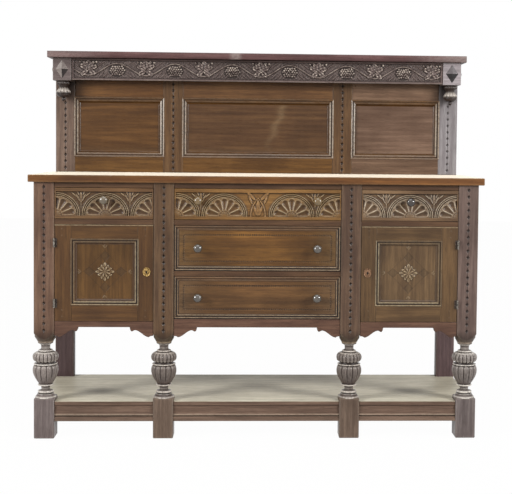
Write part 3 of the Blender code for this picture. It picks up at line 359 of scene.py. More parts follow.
def stile_shell(middle, top, strike=None):
    """The square stile: its section carried up, clipped to the lathe's shoulder, with the notches in front.
    The strike is the slot for a lock's bolt, given by its side of the stile and its low and high y and z."""
    half = POST / 2
    inner = half - POST_CORNER
    beside = np.linspace(9 * mm, inner, 5)
    face = np.concatenate([-beside[::-1], np.linspace(-8, 8, 17) * mm, beside])
    edge = np.linspace(-inner, inner, 5)
    height = np.concatenate([np.linspace(SHOULDER_BOTTOM, SHOULDER_TOP, 24),
                             np.linspace(SHOULDER_TOP, top, 340)[1:]])
    if strike:
        hand, y_low, y_high, z_low, z_high = strike
        lips = np.array([y_low, y_low + STRIKE_LIP, y_high - STRIKE_LIP, y_high]) - middle[1]
        edge = np.sort(np.concatenate([edge, lips, -lips]))
        height = np.sort(np.concatenate([height, [z_low, z_low + STRIKE_LIP, z_high - STRIKE_LIP, z_high]]))
    bend = np.linspace(0, np.pi / 2, 5)[1:-1]
    arc = np.column_stack([inner + POST_CORNER * np.sin(bend), -inner - POST_CORNER * np.cos(bend)])
    side = np.column_stack([edge, np.full(len(edge), -half)])
    runs = [np.column_stack([face, np.full(len(face), -half)]), arc]
    quarter_turn = np.array([[0, 1], [-1, 0]])
    for _ in range(3):
        side, arc = side @ quarter_turn, arc @ quarter_turn
        runs += [side, arc]
    section = np.vstack(runs)
    is_front = np.arange(len(section)) < len(face)
    is_corner = np.abs(section[:, 0] * section[:, 1]) > inner * inner
    part = np.clip((height - SHOULDER_BOTTOM) / (SHOULDER_TOP - SHOULDER_BOTTOM), 0, 1)
    lathe = SHOULDER_RADIUS + SHOULDER_FLARE * part ** 1.1
    clip = np.minimum(1, lathe[:, None] / np.hypot(section[:, 0], section[:, 1]))
    turned = clip < 0.999
    x = section[:, 0] * clip
    z = np.broadcast_to(height[:, None], x.shape)
    deep = np.where(is_front & ~turned, notches(x, z, SHOULDER_TOP - 4 * mm, top - 6 * mm), 0)
    sunk = np.zeros(x.shape)
    if strike:
        lip = STRIKE_LIP / 2
        y = middle[1] + section[:, 1]
        within = (y > y_low + lip) & (y < y_high - lip) & (section[:, 0] * hand > inner)
        rows = (height > z_low + lip) & (height < z_high - lip)
        sunk = hand * STRIKE_DEPTH * (rows[:, None] & within)
    grid = np.stack([middle[0] + x - sunk, middle[1] + section[:, 1] * clip + deep, z], -1)
    level = z / mm
    wear = 0.08 * is_corner + 0.2 * turned + 0.6 * np.clip((SHOULDER_LIP - level) / 8, 0, 1)
    # The stile is darker round its shoulder, from its foot to a little above its top
    shoulder = np.clip((SHOULDER_DARK_HIGH - level) / 30, 0, 1)
    shoulder = shoulder * np.clip((level - SHOULDER_DARK_LOW) / 6, 0, 1)
    soot = np.clip(deep / SOOTED_NOTCH, 0, 1) + 0.5 * shoulder
    return shell(grid, {"wear": wear.ravel(), "soot": soot.ravel(), "tone": -0.3 * shoulder.ravel()})


# The stain is painted greyer at the two ends of the front, a painted sheen where the lamps at the sides
# reflect, and browner in its middle. Legs and feet are paler than the stiles, partly worn and partly painted
# light, and the outer ones are painted paler and greyer than the inner ones, as lit copies of one oak
post_oak = {
    ("left", "outer"): oak("greyed stained oak", 2, "#422f25", "#654c3d", "#816854", "#a39483", 0.40, 2.0),
    ("right", "outer"): oak("grey stained oak", 2, "#3e302b", "#5f4e47", "#7a6961", "#a39483", 0.40, 4.0),
    ("left", "inner"): oak("stained oak", 2, "#39281c", "#57412e", "#725a41", "#a08f78", 0.40, 5.0),
    ("right", "inner"): oak("stained oak post", 2, "#382820", "#554133", "#705a48", "#a08f78", 0.40, 6.0),
}
leg_oak = {
    "outer": oak("rubbed grey oak", 2, "#4e4340", "#6b605c", "#857b76", "#d0c9c0", 0.30, 8.0),
    "inner": oak("rubbed brown oak", 2, "#3a302d", "#524641", "#6a5e57", "#c2b9af", 0.30, 9.0),
}
foot_oak = {
    "outer": oak("rubbed grey oak foot", 2, "#4c4240", "#6a5f5d", "#837975", "#b4aaa0", 0.36, 7.0),
    "inner": oak("rubbed brown oak foot", 2, "#46372d", "#645347", "#7d6b5c", "#b0a494", 0.36, 10.0),
}
for side, sign in SIDES:
    for place in ("outer", "inner"):
        name = f"front_post_{side}_{place}"
        low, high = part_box(name)
        middle = (low + high) / 2
        strike = None
        if place == "inner":
            bolt_low, bolt_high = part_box(f"lock_bolt_{side}")
            strike = (sign, bolt_low.y - STRIKE_ROOM, bolt_high.y + STRIKE_ROOM,
                      bolt_low.z - STRIKE_ROOM, bolt_high.z + STRIKE_ROOM)
        piece(f"stile_{side}_{place}", stile_shell(middle, high.z, strike), post_oak[side, place], "carcase",
              "dark_oak", [name])
        # The right outer leg and foot are toned a little darker
        right_end = (side, place) == ("right", "outer")
        piece(f"leg_{side}_{place}", leg_shell(middle), leg_oak[place], "carcase", "worn_oak",
              tone=-0.3 if right_end else -0.05)
        half = POST / 2
        foot = ((middle.x - half, middle.y - half, 0), (middle.x + half, middle.y + half, FOOT_TOP))
        piece(f"foot_{side}_{place}", box_shell([foot], 2.6 * mm, 5 * mm, 0.1), foot_oak[place], "carcase",
              "worn_oak", tone=-0.18 if right_end else 0.0)

# Back posts: two plain square posts of the same oak, seen between the legs. They are sawn, planed and stained
# dark, and nothing is carved on them.

back_oak = oak("dark stained oak", 2, "#3b2d2b", "#554445", "#695755", "#8d7b6a", 0.45, 11.0)
for side, sign in SIDES:
    name = f"back_post_{side}"
    piece(f"plain_post_{side}", box_shell([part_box(name)], 1.5 * mm, 4 * mm, 0.3), back_oak, "carcase",
          "dark_oak", [name], tone=0.13 + 0.13 * sign)

# Potboard and its rails: a low shelf of oak boards notched round the posts. The rails under its front and its
# ends are stuck with a bead over a groove. The top is pale, partly rubbed and partly painted light for the
# light it catches and reflects, and it still carries its wax.


def extruded(outline, axis, low, high, marks=None):
    """A closed outline, in the plane across an axis, carried along that axis from low to high."""
    outline = np.asarray(outline, float)
    count = len(outline)
    others = [other for other in range(3) if other != axis]
    points = np.zeros((2 * count, 3))
    points[:, others] = np.vstack([outline, outline])
    points[:, axis] = np.repeat([low, high], count)
    following = np.roll(outline, -1, axis=0)
    area = np.sum(outline[:, 0] * following[:, 1] - following[:, 0] * outline[:, 1])
    index = np.arange(count)
    onward = np.roll(index, -1)
    walls = np.stack([index, onward, onward + count, index + count], -1)
    faces = walls.tolist() + [index[::-1].tolist(), (index + count).tolist()]
    if (area < 0) != (axis == 1):
        faces = [face[::-1] for face in faces]
    return points, faces, {mark: np.tile(values, 2) for mark, values in (marks or {}).items()}


def soften(thing, width):
    """Round a piece's sharp edges by a small live bevel."""
    bevel = thing.modifiers.new("softened arris", "BEVEL")
    bevel.width = width
    bevel.segments = 2
    bevel.limit_method = "ANGLE"
    bevel.angle_limit = math.radians(35)


def paint_lit_top(thing, material):
    """Give the faces of a board that look up a paler finish of their own, painted light for the light they
    catch.
    """
    thing.data.materials.append(material)
    for polygon in thing.data.polygons:
        if polygon.normal.z > 0.9:
            polygon.material_index = 1


BAYS = ("left", "centre", "right")
TENON, FIT = 18 * mm, 0.3 * mm
POST_PROUD = 4 * mm
# Of each point of a rail: how far in and up it lies, in millimetres, and its wear and soot
RAIL_PROFILE = np.array([
    (22, 0, 0, 0), (0.8, 0, 0.1, 0), (0, 0.8, 0.1, 0), (0, 15.5, 0, 0), (0.8, 16.8, 0.1, 0.1),
    (5.0, 17.4, 0, 0.7), (5.0, 20.6, 0, 0.7), (1.2, 21.2, 0.1, 0.1), (0.4, 22.4, 0.3, 0), (0.9, 24.2, 0.3, 0),
    (3.6, 27.6, 0.1, 0), (4.0, 28.6, 0, 0), (4.0, 55.6, 0, 0), (4.5, 56.4, 0, 0.1), (4.5, 58.5, 0, 0.1),
    (22, 58.5, 0, 0),
])
# Brown rails under a shelf that feet and brooms have rubbed to a pale, dusty grey, painted paler still for
# the light it catches
rail_oak = {
    axis: oak(f"moulded oak rail {axis}", number, "#403027", "#624d40", "#806a5b", "#b0a18c", 0.40,
              3.0 + number) for number, axis in enumerate("xy")
}
shelf_oak = oak("rubbed waxed oak shelf", 0, "#8f8773", "#b7b09a", "#cfc9b5", "#c8c2b6", 0.42, 6.0, 0.45)
section = RAIL_PROFILE[:, :2] * mm
rail_marks = {"wear": RAIL_PROFILE[:, 2], "soot": RAIL_PROFILE[:, 3]}
for bay in BAYS:
    name = f"stretcher_front_{bay}"
    low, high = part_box(name)
    made = extruded((low.y, low.z) + section, 0, low.x + TENON, high.x - TENON, rail_marks)
    piece(f"front_rail_{bay}", made, rail_oak["x"], "carcase", "dark_oak", [name])
for side, sign in SIDES:
    name = f"stretcher_side_{side}"
    low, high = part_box(name)
    outer = high.x if sign > 0 else low.x
    made = extruded((outer, low.z) + section * (-sign, 1), 1, low.y + TENON, high.y - TENON, rail_marks)
    piece(f"end_rail_{side}", made, rail_oak["y"], "carcase", "dark_oak", [name])
piece("back_rail", box_shell([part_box("stretcher_back")], rub=0.3), rail_oak["x"], "carcase", "dark_oak",
      ["stretcher_back"])

low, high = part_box("potboard")
post_low, post_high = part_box("back_post_left")
back_end, back_start = post_high.x + FIT, post_low.y - FIT
front_end = low.y - POST_PROUD + POST + FIT
outer_post, inner_post = (-sum(corner.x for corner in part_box(f"front_post_left_{place}")) / 2
                          for place in ("outer", "inner"))
half = POST / 2 + FIT
right = [(inner_post - half, low.y), (inner_post - half, front_end), (inner_post + half, front_end),
         (inner_post + half, low.y), (outer_post - half, low.y), (outer_post - half, front_end),
         (high.x, front_end), (high.x, back_start), (-back_end, back_start), (-back_end, high.y)]
made = extruded(right + [(-x, y) for x, y in right[::-1]], 2, low.z, high.z)
potboard = piece("low_shelf", made, rail_oak["x"], "carcase", "worn_oak", ["potboard"])
paint_lit_top(potboard, shelf_oak)
soften(potboard, 1.5 * mm)

# Aprons: three rails under the doors and drawers, tenoned into the posts and fretted to a bracket at each of
# them. The saw's arris is softened, and the stain is a little redder than on the posts.

BRACKET_DROP = 37


def bracket():
    """(along, drop) of a bracket's edge from the post: a quarter ellipse for its lobe, half a wave for its
    ogee and a quarter ellipse for the nib that turns up to the rail."""
    quarter = np.linspace(0, np.pi / 2, 7)
    lobe = np.column_stack([15 * np.sin(quarter), BRACKET_DROP - 5 * np.cos(quarter)])
    part = np.linspace(0, 1, 16)[1:]
    ogee = np.column_stack([15 + 53 * part, BRACKET_DROP - 26 + 26 * (1 + np.cos(part * np.pi)) / 2])
    nib = np.column_stack([78 + 8 * np.sin(quarter), 16 * np.cos(quarter)])
    return np.vstack([lobe, ogee, nib]) * mm


apron_oak = oak("fretted oak apron", 0, "#3b271e", "#593f32", "#745846", "#9c8a74", 0.42, 9.0)
along, drop = bracket().T
for bay in BAYS:
    name = f"apron_{bay}"
    low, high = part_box(name)
    left, right = low.x + TENON, high.x - TENON
    edge = low.z + BRACKET_DROP * mm - drop
    outline = np.vstack([[(left, high.z)], np.column_stack([left + along, edge]),
                         np.column_stack([right - along, edge])[::-1], [(right, high.z)]])
    apron = piece(f"fretted_apron_{bay}", extruded(outline, 1, low.y, high.y), apron_oak, "carcase",
                  "dark_oak", [name])
    soften(apron, 1.2 * mm)

# Case: side boards, back, bottom, shelf, top and the partitions beside the drawers, of oak boards housed in
# the posts. The shelf, the top and the board between the drawers show only as rails at the front.


def dress(names, material, arris=0.8 * mm):
    """Give made nodes a finish, with their loose corners welded and their sharp edges rounded."""
    for name in names:
        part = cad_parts[name]
        for slot in part.material_slots:
            slot.material = material
        weld = part.modifiers.new("welded corners", "WELD")
        weld.merge_threshold = 0.05 * mm
        soften(part, arris)


# Stained where it shows, and the dry, lighter brown of bare oak inside and behind
case_oak = oak("stained oak board", 0, "#342217", "#4f3826", "#694f38", "#a08e76", 0.42, 12.0)
side_oak = oak("stained oak end board", 2, "#38261c", "#533b2c", "#6c523d", "#a08e76", 0.42, 14.0)
raw_oak = {
    axis: oak(f"unstained oak {axis}", number, "#5f4831", "#7d6245", "#967a58", "#a98f6c", 0.60,
              15.0 + number) for number, axis in enumerate("xyz")
}
dress(["frieze_shelf", "carcase_top", "drawer_housing"], case_oak)
dress(["side_panel_left", "side_panel_right"], side_oak)
dress(["carcase_back"], raw_oak["z"])
dress(["carcase_bottom"], raw_oak["x"])

# Cupboard doors: two stiles and two rails of oak, tenoned and pegged, round a flat panel. A bead, a quirk and
# a second bead are run round the panel, which is carved with a rosette in a diamond of punched lozenges.


def lens(x, z, start, end, width):
    """A leaf or petal from start to end: 1 along its middle, falling to 0 at its round sides and points."""
    span = np.subtract(end, start)
    length = np.hypot(*span)
    along = ((x - start[0]) * span[0] + (z - start[1]) * span[1]) / length ** 2
    aside = ((x - start[0]) * span[1] - (z - start[1]) * span[0]) / length
    half = width * np.sqrt(np.clip(4 * along * (1 - along), 1e-9, 1))
    return np.sqrt(np.clip(1 - (aside / half) ** 2, 0, 1)) * ((along > 0) & (along < 1))


def relief(name, low, high, carve, cell, material, body, slot, nodes=(), arris=1.2 * mm, crest=1.2 * mm,
           reach=2.6 * mm):
    """A board whose front is a grid of points about a cell apart, each set back by carve(x, z), which also
    gives its paint: extra soot and painted shade, how far its ridges rub, bare wood and painted sheen, and
    tone. Sides and a back close it."""
    columns = int((high[0] - low[0]) / cell) + 1
    rows = int((high[2] - low[2]) / cell) + 1
    x, z = np.meshgrid(np.linspace(low[0], high[0], columns), np.linspace(low[2], high[2], rows))
    deep, paint = carve(x, z)
    rim = np.minimum(np.minimum(x - low[0], high[0] - x), np.minimum(z - low[2], high[2] - z))
    deep = deep + arris - np.sqrt(arris ** 2 - np.clip(arris - rim, 0, arris) ** 2)
    front = np.stack([x, low[1] + deep, z], -1).reshape(-1, 3)
    index = np.arange(rows * columns).reshape(rows, columns)
    loop = np.concatenate([index[0], index[1:, -1], index[-1, -2::-1], index[-2:0:-1, 0]])
    behind = front[loop]
    behind[:, 1] = high[1]
    ring = len(front) + np.arange(len(loop))
    walls = np.stack([loop, ring, np.roll(ring, -1), np.roll(loop, -1)], -1)
    faces = grid_faces(rows, columns, round_columns=False) + walls.tolist() + [ring[::-1].tolist()]
    marks = worn(-deep, ((high[2] - low[2]) / rows, (high[0] - low[0]) / columns), reach, crest)
    soot, rub, bare, tone = (np.broadcast_to(paint.get(mark, 0.0), x.shape).ravel()
                             for mark in ("soot", "rub", "bare", "tone"))
    marks = {"soot": np.clip(0.8 * marks["soot"] + soot, 0, 1), "tone": tone,
             "wear": np.clip(marks["wear"] * rub + bare, 0, 1)}
    marks = {mark: np.concatenate([values, values[loop] * (mark == "tone")])
             for mark, values in marks.items()}
    return piece(name, (np.vstack([front, behind]), faces, marks), material, body, slot, nodes, sharp=60)


def moulding(frames, y, profile, sides, top_highlight=0.0):
    """A profile of (inward, depth, wear, soot) points, in millimetres, carried along the bottom, right, top
    and left of each frame (x0, z0, x1, z1), with mitred corners. Each side has its own share of the wear,
    which is partly wear and partly a painted highlight on the sides that catch the light, and, in part, of
    the soot.
    The top has its own tone, a painted highlight."""
    inward, depth, wear, soot = np.array(profile, float).T
    inward, depth = inward * mm, depth * mm
    faces = grid_faces(len(inward), 2, round_rows=True, round_columns=False)
    shells = []
    for x0, z0, x1, z1 in frames:
        x = np.stack([x0 + inward, x1 - inward, x1 - inward, x0 + inward], -1)
        z = np.stack([z0 + inward, z0 + inward, z1 - inward, z1 - inward], -1)
        grid = np.stack([x, np.broadcast_to((y + depth)[:, None], x.shape), z], -1)
        for side, share in enumerate(sides):
            run = grid[:, [side, (side + 1) % 4]]
            marks = {"wear": np.repeat(share * wear, 2), "tone": top_highlight * (side == 2),
                     "soot": np.repeat(soot * (0.15 + 0.85 * min(share, 1)), 2)}
            shells.append((run.reshape(-1, 3), faces, marks))
    return joined(shells)


def pegs(places, y, radius):
    """Turned ends of oak pegs, a low dome each, standing a little proud of the frame."""
    proud, buried = 0.5 * mm, 1.5 * mm
    marks = {"wear": 0.05, "soot": 0.1, "tone": 0.04}
    part = np.linspace(np.pi / 2, 0.05, 4)[:, None]
    turn = turns(14)
    ring, dome = radius * np.sin(part), y - proud * np.cos(part) + 0 * turn
    shells = []
    for x, z in places:
        grid = np.stack([x + ring * np.cos(turn), dome, z + ring * np.sin(turn)], -1)
        shells.append(shell(np.concatenate([grid[:1] + (0, buried, 0), grid]), marks))
    return joined(shells)


LOZENGE_OUT, STRAP_OUT, TREFOIL_OUT = 58, 74, 87
ROSETTE_OUT, PUNCH_PITCH = 40, 5


def door_carving(x, z):
    """Depth over a door's panel, from its middle: a rosette of twelve long and eight short petals stands
    proud of four punched lozenges, an incised diamond joins them, and a trefoil ends each arm."""
    x, z = x / mm, z / mm
    radius, angle = np.hypot(x, z), np.arctan2(z, x)
    twelfth = np.mod(angle + np.pi / 12, np.pi / 6) - np.pi / 12
    reach = 29.0 + 4.0 * np.cos(4 * angle)
    along, aside = radius * np.cos(twelfth), radius * np.sin(twelfth)
    long_petal = lens(along * 35 / reach, aside, (10, 0), (36, 0), 6.2) * 3.0
    long_petal -= 1.4 * np.clip(1 - np.abs(aside) / 1.5, 0, 1) * (long_petal > 0)
    between = np.mod(angle, np.pi / 4) - np.pi / 8
    short_petal = lens(radius * np.cos(between), radius * np.sin(between), (4, 0), (20, 0), 4.6) * 4.4
    hub = 5.2 * np.sqrt(np.clip(1 - (radius / 6.5) ** 2, 0, 1)) - 1.6 * np.clip(1 - radius / 2.6, 0, 1)
    height = np.maximum(np.maximum(long_petal, short_petal), hub)
    far = np.maximum(np.abs(x), np.abs(z))
    near = np.minimum(np.abs(x), np.abs(z))
    for turn in (-0.62, 0.0, 0.62):
        tip = (TREFOIL_OUT + 13 * np.cos(turn), 13 * np.sin(turn))
        height = np.maximum(height, 1.2 * lens(far, near, (TREFOIL_OUT, 0), tip, 2.6))
    lozenge = np.clip(1.25 - np.abs(far - LOZENGE_OUT) / 24 - near / 19, 0, 1) * (radius > 34)
    inside = np.clip(lozenge * 8 - 2, 0, 1)
    punch = np.cos(2 * np.pi * x / PUNCH_PITCH) * np.cos(2 * np.pi * z / PUNCH_PITCH)
    punched = inside * (0.7 + 0.5 * punch)
    strap = 0.8 * np.clip(1 - np.abs(np.abs(x) + np.abs(z) - STRAP_OUT) / 1.5, 0, 1) * (far < 84)
    deep = np.where(height > 0, -height, np.maximum(punched, strap))
    rub = np.where(radius < ROSETTE_OUT, 0.6, 0.3) * (height > 0) + 0.2 * inside
    cut = 0.34 * punched + 0.1 * (strap > 0.1)
    return deep * mm, {"soot": cut * (height <= 0), "rub": rub}


HUNG_STILE, SHUT_STILE = 62 * mm, 57 * mm
BOTTOM_RAIL, TOP_RAIL, RAIL_SETBACK = 63 * mm, 55 * mm, 0.2 * mm
TOP_EDGE = 3 * mm
PEG_INSET, PEG_ENDS, PEG_RADIUS = 28 * mm, (16 * mm, 40 * mm), 3.6 * mm
DOOR_MOULDING = [
    (-4.4, 3.0, 0, 0), (-4.4, 0.0, 0, 0.7), (-3.6, -1.8, 0.2, 0.2), (-2.6, -2.0, 0.3, 0),
    (0.8, -0.5, 0.1, 0.2), (1.2, 0.4, 0, 0.6), (1.8, 4.2, 0, 1.0), (5.0, 4.4, 0, 1.0), (5.4, 1.8, 0.1, 0.5),
    (6.0, 1.0, 0.35, 0), (6.8, 0.9, 0.3, 0), (11.0, 2.8, 0.1, 0.2), (11.4, 4.4, 0, 0.8), (13.0, 6.6, 0, 0.5),
    (16.5, 9.4, 0, 0.2), (18.5, 10.3, 0, 0.3), (18.5, 12.0, 0, 0), (6.0, 12.0, 0, 0),
]
# Share of the pale on each door's beads, bottom, right, top and left: partly wear, partly painted highlight
WORN_AND_LIT_SIDES = {"left": (1.5, 1.2, 0.5, 0.5), "right": (1.3, 0.4, 0.4, 1.2)}
# A dark brown stain, greyer on the right with a painted sheen, and the beads pale most on the sides that
# catch the light: partly polished where a hand slides along them, partly painted highlight
DOOR_STAINS = {"left": ("#352213", "#52381f", "#6a4c2b"), "right": ("#3a2a1b", "#58422b", "#71583a")}
PANEL_STAINS = {"left": ("#38250f", "#573c1f", "#70522b"), "right": ("#3e2e20", "#5f4a33", "#786044")}
door_oak = {}
for number, (side, stain) in enumerate(DOOR_STAINS.items()):
    door_oak[side, "stile"] = oak(f"{side} door oak stile", 2, *stain, "#a8967a", 0.36, 17.0 + number)
    door_oak[side, "rail"] = oak(f"{side} door oak rail", 0, *stain, "#a8967a", 0.36, 19.0 + number)
    door_oak[side, "panel"] = oak(f"{side} door oak panel", 2, *PANEL_STAINS[side], "#c9b592", 0.34,
                                  21.0 + number)
    door_oak[side, "moulding"] = oak(f"{side} door polished moulding", 2, *stain, "#c2b494", 0.28, 22.0,
                                     shine=0.35)
for side, sign in SIDES:
    body = f"door_{side}"
    low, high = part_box(f"door_frame_{side}")
    hung, shut = (low.x, high.x) if sign < 0 else (high.x, low.x)
    left, right = sorted((hung - sign * HUNG_STILE, shut + sign * SHUT_STILE))
    sill, head, top = low.z + BOTTOM_RAIL, high.z - TOP_RAIL, high.z - TOP_EDGE
    stiles = [(low, (left, high.y, top)), ((right, low.y, low.z), (high.x, high.y, top))]
    piece(f"door_stiles_{side}", box_shell(stiles, 0.9 * mm, 2.2 * mm, 0.06, 31 + sign),
          door_oak[side, "stile"], body, "dark_oak", [f"door_frame_{side}"])
    face = low.y + RAIL_SETBACK
    rails = [((left, face, low.z), (right, high.y, sill)), ((left, face, head), (right, high.y, top))]
    piece(f"door_rails_{side}", box_shell(rails, 0.9 * mm, 2.2 * mm, 0.02), door_oak[side, "rail"], body,
          "dark_oak", tone=np.repeat((0.04, -0.12), BOX_POINTS))
    piece(f"door_top_edge_{side}", box_shell([((low.x, low.y, top), high)], 0.4 * mm, 0.6 * mm),
          door_oak[side, "rail"], body, "dark_oak", wear=0.55, tone=0.0)
    beads = moulding([(left, sill, right, head)], low.y, DOOR_MOULDING, WORN_AND_LIT_SIDES[side])
    piece(f"door_moulding_{side}", beads, door_oak[side, "moulding"], body, "dark_oak", sharp=20)
    spots = [(x, z) for x in (low.x + PEG_INSET, high.x - PEG_INSET)
             for z in [low.z + end for end in PEG_ENDS] + [high.z - end for end in PEG_ENDS]]
    piece(f"door_pegs_{side}", pegs(spots, low.y, PEG_RADIUS), door_oak[side, "stile"], body, "dark_oak")
    centre_x, centre_z = (left + right) / 2, (sill + head) / 2
    relief(f"door_carved_panel_{side}", *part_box(f"door_panel_{side}"),
           lambda x, z: door_carving(x - centre_x, z - centre_z), 1.25 * mm, door_oak[side, "panel"], body,
           "warm_oak", [f"door_panel_{side}"])

# Locks and hinges: a brass lock screwed behind each door, its case slotted for a steel bolt, with an oval
# brass shield in front. Two steel butt hinges carry the door. Their knuckles stand proud of the post, and an
# iron plate is let into the door beside each.


def metal(name, dull, bright, roughness, spot):
    """Old metal: tarnish in spots of so many millimetres dulls the bright metal and roughens it."""
    material = bpy.data.materials.new(name)
    material.use_nodes = True
    tree = material.node_tree
    shader = tree.nodes["Principled BSDF"]
    shader.inputs["Metallic"].default_value = 1.0
    place = add_node(tree, "TexCoord").outputs["Object"]
    field = {"Vector": place, "Scale": 1000 / spot, "Detail": 3.0}
    tarnish = add_node(tree, "TexNoise", field).outputs["Fac"]
    part = {"Value": tarnish, "From Min": 0.38, "From Max": 0.62, "To Min": 0.0, "To Max": 1.0}
    part = add_node(tree, "MapRange", part).outputs[0]
    both = {0: part, 6: linear(bright), 7: linear(dull)}
    tree.links.new(add_node(tree, "Mix", both, data_type="RGBA").outputs[2], shader.inputs["Base Color"])
    rough = {"Value": tarnish, "From Min": 0.3, "From Max": 0.7,
             "To Min": roughness, "To Max": roughness + 0.25}
    tree.links.new(add_node(tree, "MapRange", rough).outputs[0], shader.inputs["Roughness"])
    return material


# Of each ring of a shield, from its rim in: its share of the half width and height, and its rise in mm
SHIELD_RINGS = np.array([(1.0, 0.0), (1.0, 1.4), (0.97, 2.1), (0.90, 2.2), (0.84, 1.7), (0.80, 1.2),
                         (0.6, 1.9), (0.42, 2.3), (0.27, 2.4)])
SHIELD_HALF_WIDTH, SHIELD_HALF_HEIGHT = 14.6 * mm, 17.4 * mm
WARD_RISES = (2.4, 0.4)


def shield(x, y, z):
    """An oval shield: its radius runs in from a rolled rim over a low dome, and a keyhole is let into it."""
    turn = turns(48)
    ward = np.sin(turn) < -0.55
    part, rise = SHIELD_RINGS[:, :1] + 0 * turn, SHIELD_RINGS[:, 1:] + 0 * turn
    narrow = np.vstack([np.ones(part.shape)] + [np.where(ward, 0.55, 1.0)] * 2)
    part = np.vstack([part] + [np.where(ward, 0.36, 0.22)] * 2)
    rise = np.vstack([rise] + [level + 0 * turn for level in WARD_RISES]) * mm
    return shell(np.stack([x + part * narrow * SHIELD_HALF_WIDTH * np.cos(turn), y - rise,
                           z + part * SHIELD_HALF_HEIGHT * np.sin(turn)], -1))


KEYHOLE_HALF_WIDTH, KEYHOLE_HALF_HEIGHT, KEYHOLE_DROP = 3.0 * mm, 5.4 * mm, 1.0 * mm
KEYHOLE_PROUD, KEYHOLE_DEPTH = 2.6 * mm, 2.9 * mm


def keyhole(x, y, z):
    """The dark of the keyhole: an oval carried through the shield, painted near black for the shade in the
    hole.
    """
    turn = turns(20)
    across, up = KEYHOLE_HALF_WIDTH * np.cos(turn), KEYHOLE_HALF_HEIGHT * np.sin(turn)
    front = np.stack([x + across, y - KEYHOLE_PROUD + 0 * turn, z - KEYHOLE_DROP + up], -1)
    return shell(np.stack([front + (0, KEYHOLE_DEPTH, 0), front]))


def slotted_case(case, slot, back, edge, end):
    """A lock's case as one skin: its outline (y0, y1, z0, z1) carried along X from its back to its edge, in
    to the outline of the bolt's slot, and along that to the slot's end."""
    rings = []
    for (y0, y1, z0, z1), x in ((case, back), (case, edge), (slot, edge), (slot, end)):
        ring = [(x, y0, z0), (x, y1, z0), (x, y1, z1), (x, y0, z1)]
        rings.append(ring if edge > back else ring[::-1])
    return shell(np.array(rings))


KNUCKLE_RADIUS, KNUCKLE_GROOVE, KNUCKLES = 4.0 * mm, 0.7 * mm, 5
LEAF_HALF = 0.4 * mm


def hinge(low, high):
    """A butt hinge: five knuckles round a pin, parted by grooves, and the leaf that is let in behind them."""
    turn = turns(24)
    axis = (low.x + high.x) / 2
    height = np.linspace(low.z, high.z, 61)[:, None]
    part = np.mod((height - low.z) / (high.z - low.z) * KNUCKLES, 1)
    radius = KNUCKLE_RADIUS - KNUCKLE_GROOVE * (np.minimum(part, 1 - part) < 0.05)
    pin_y = low.y + KNUCKLE_RADIUS
    x, y = axis + radius * np.sin(turn), pin_y - radius * np.cos(turn)
    knuckles = shell(np.stack([x, y, height + 0 * turn], -1))
    leaf = ((axis - LEAF_HALF, pin_y, low.z + FIT), (axis + LEAF_HALF, high.y, high.z - FIT))
    return joined([knuckles, box_shell([leaf], 0.1 * mm, 0.1 * mm)])


SHIELD_INSET, SHIELD_RISE = 24.0 * mm, 22 * mm
PLATE_NEAR, PLATE_FAR, PLATE_PROUD, PLATE_SUNK = 0.6 * mm, 9 * mm, 0.5 * mm, 1 * mm
# Brass that hands keep bright on the left and that has gone brown on the right, and dull grey steel and iron
brass = {
    "left": metal("rubbed brass", "#60482a", "#b99a62", 0.32, 5),
    "right": metal("tarnished brass", "#584232", "#8a6c55", 0.50, 5),
}
steel = metal("dull steel", "#4a4540", "#8a847c", 0.40, 4)
iron = metal("dark wrought iron", "#2a2320", "#5f5650", 0.36, 4)
# Near-black oak for the keyhole: painted shade in the hole
keyhole_shade_oak = oak("blackened oak keyhole", 2, "#0c0806", "#120b08", "#160e0a", "#20150e", 0.7, 1.0)
for side, sign in SIDES:
    body = f"door_{side}"
    low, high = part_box(f"lock_case_{side}")
    door_low, door_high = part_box(f"door_frame_{side}")
    bolt_low, bolt_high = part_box(f"lock_bolt_{side}")
    back, edge = (low.x, high.x) if sign < 0 else (high.x, low.x)
    end = (bolt_low.x if sign < 0 else bolt_high.x) + sign * FIT
    case = (door_high.y + FIT, high.y, low.z, high.z)
    slot = (bolt_low.y - FIT, bolt_high.y + FIT, bolt_low.z - FIT, bolt_high.z + FIT)
    lock = piece(f"lock_{side}", slotted_case(case, slot, back, edge, end), brass["right"], body, "brass",
                 [f"lock_case_{side}"])
    soften(lock, 0.4 * mm)
    hung, shut = (door_low.x, door_high.x) if sign < 0 else (door_high.x, door_low.x)
    middle = (shut + sign * SHIELD_INSET, door_low.y, low.z + SHIELD_RISE)
    piece(f"lock_shield_{side}", shield(*middle), brass[side], body, "brass")
    piece(f"keyhole_{side}", keyhole(*middle), keyhole_shade_oak, body, "steel")
    for level in ("lower", "upper"):
        name = f"hinge_{side}_{level}"
        low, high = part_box(name)
        piece(f"butt_hinge_{side}_{level}", hinge(low, high), steel, "carcase", "steel", [name])
        left, right = sorted((hung - sign * PLATE_NEAR, hung - sign * PLATE_FAR))
        front, behind = door_low.y - PLATE_PROUD, door_low.y + PLATE_SUNK
        plate = ((left, front, low.z + FIT), (right, behind, high.z - FIT))
        piece(f"hinge_plate_{side}_{level}", box_shell([plate], 0.2 * mm, 0.8 * mm), iron, body, "steel")
dress(["lock_bolt_left", "lock_bolt_right"], steel, 0.3 * mm)

# Frieze drawers: three shallow drawers whose oak fronts are carved with half-round fans under round arches.
# A bud fills each space between two arches, and the long middle drawer has a pointed leaf at its centre.

FAN_RADIUS = 84.5
FIELD_LOW, FIELD_HIGH, FIELD_SIDE, FIELD_EDGE = 11.4, 100.2, 4.5, 1.2
PETALS = 7
FAN_HUB, PETAL_END, ARCH_START, ARCH_PITCH = 0.22, 0.77, 0.785, 0.072
GROUND_DEEP, CARVED_DEEPEST = 5.2, 7


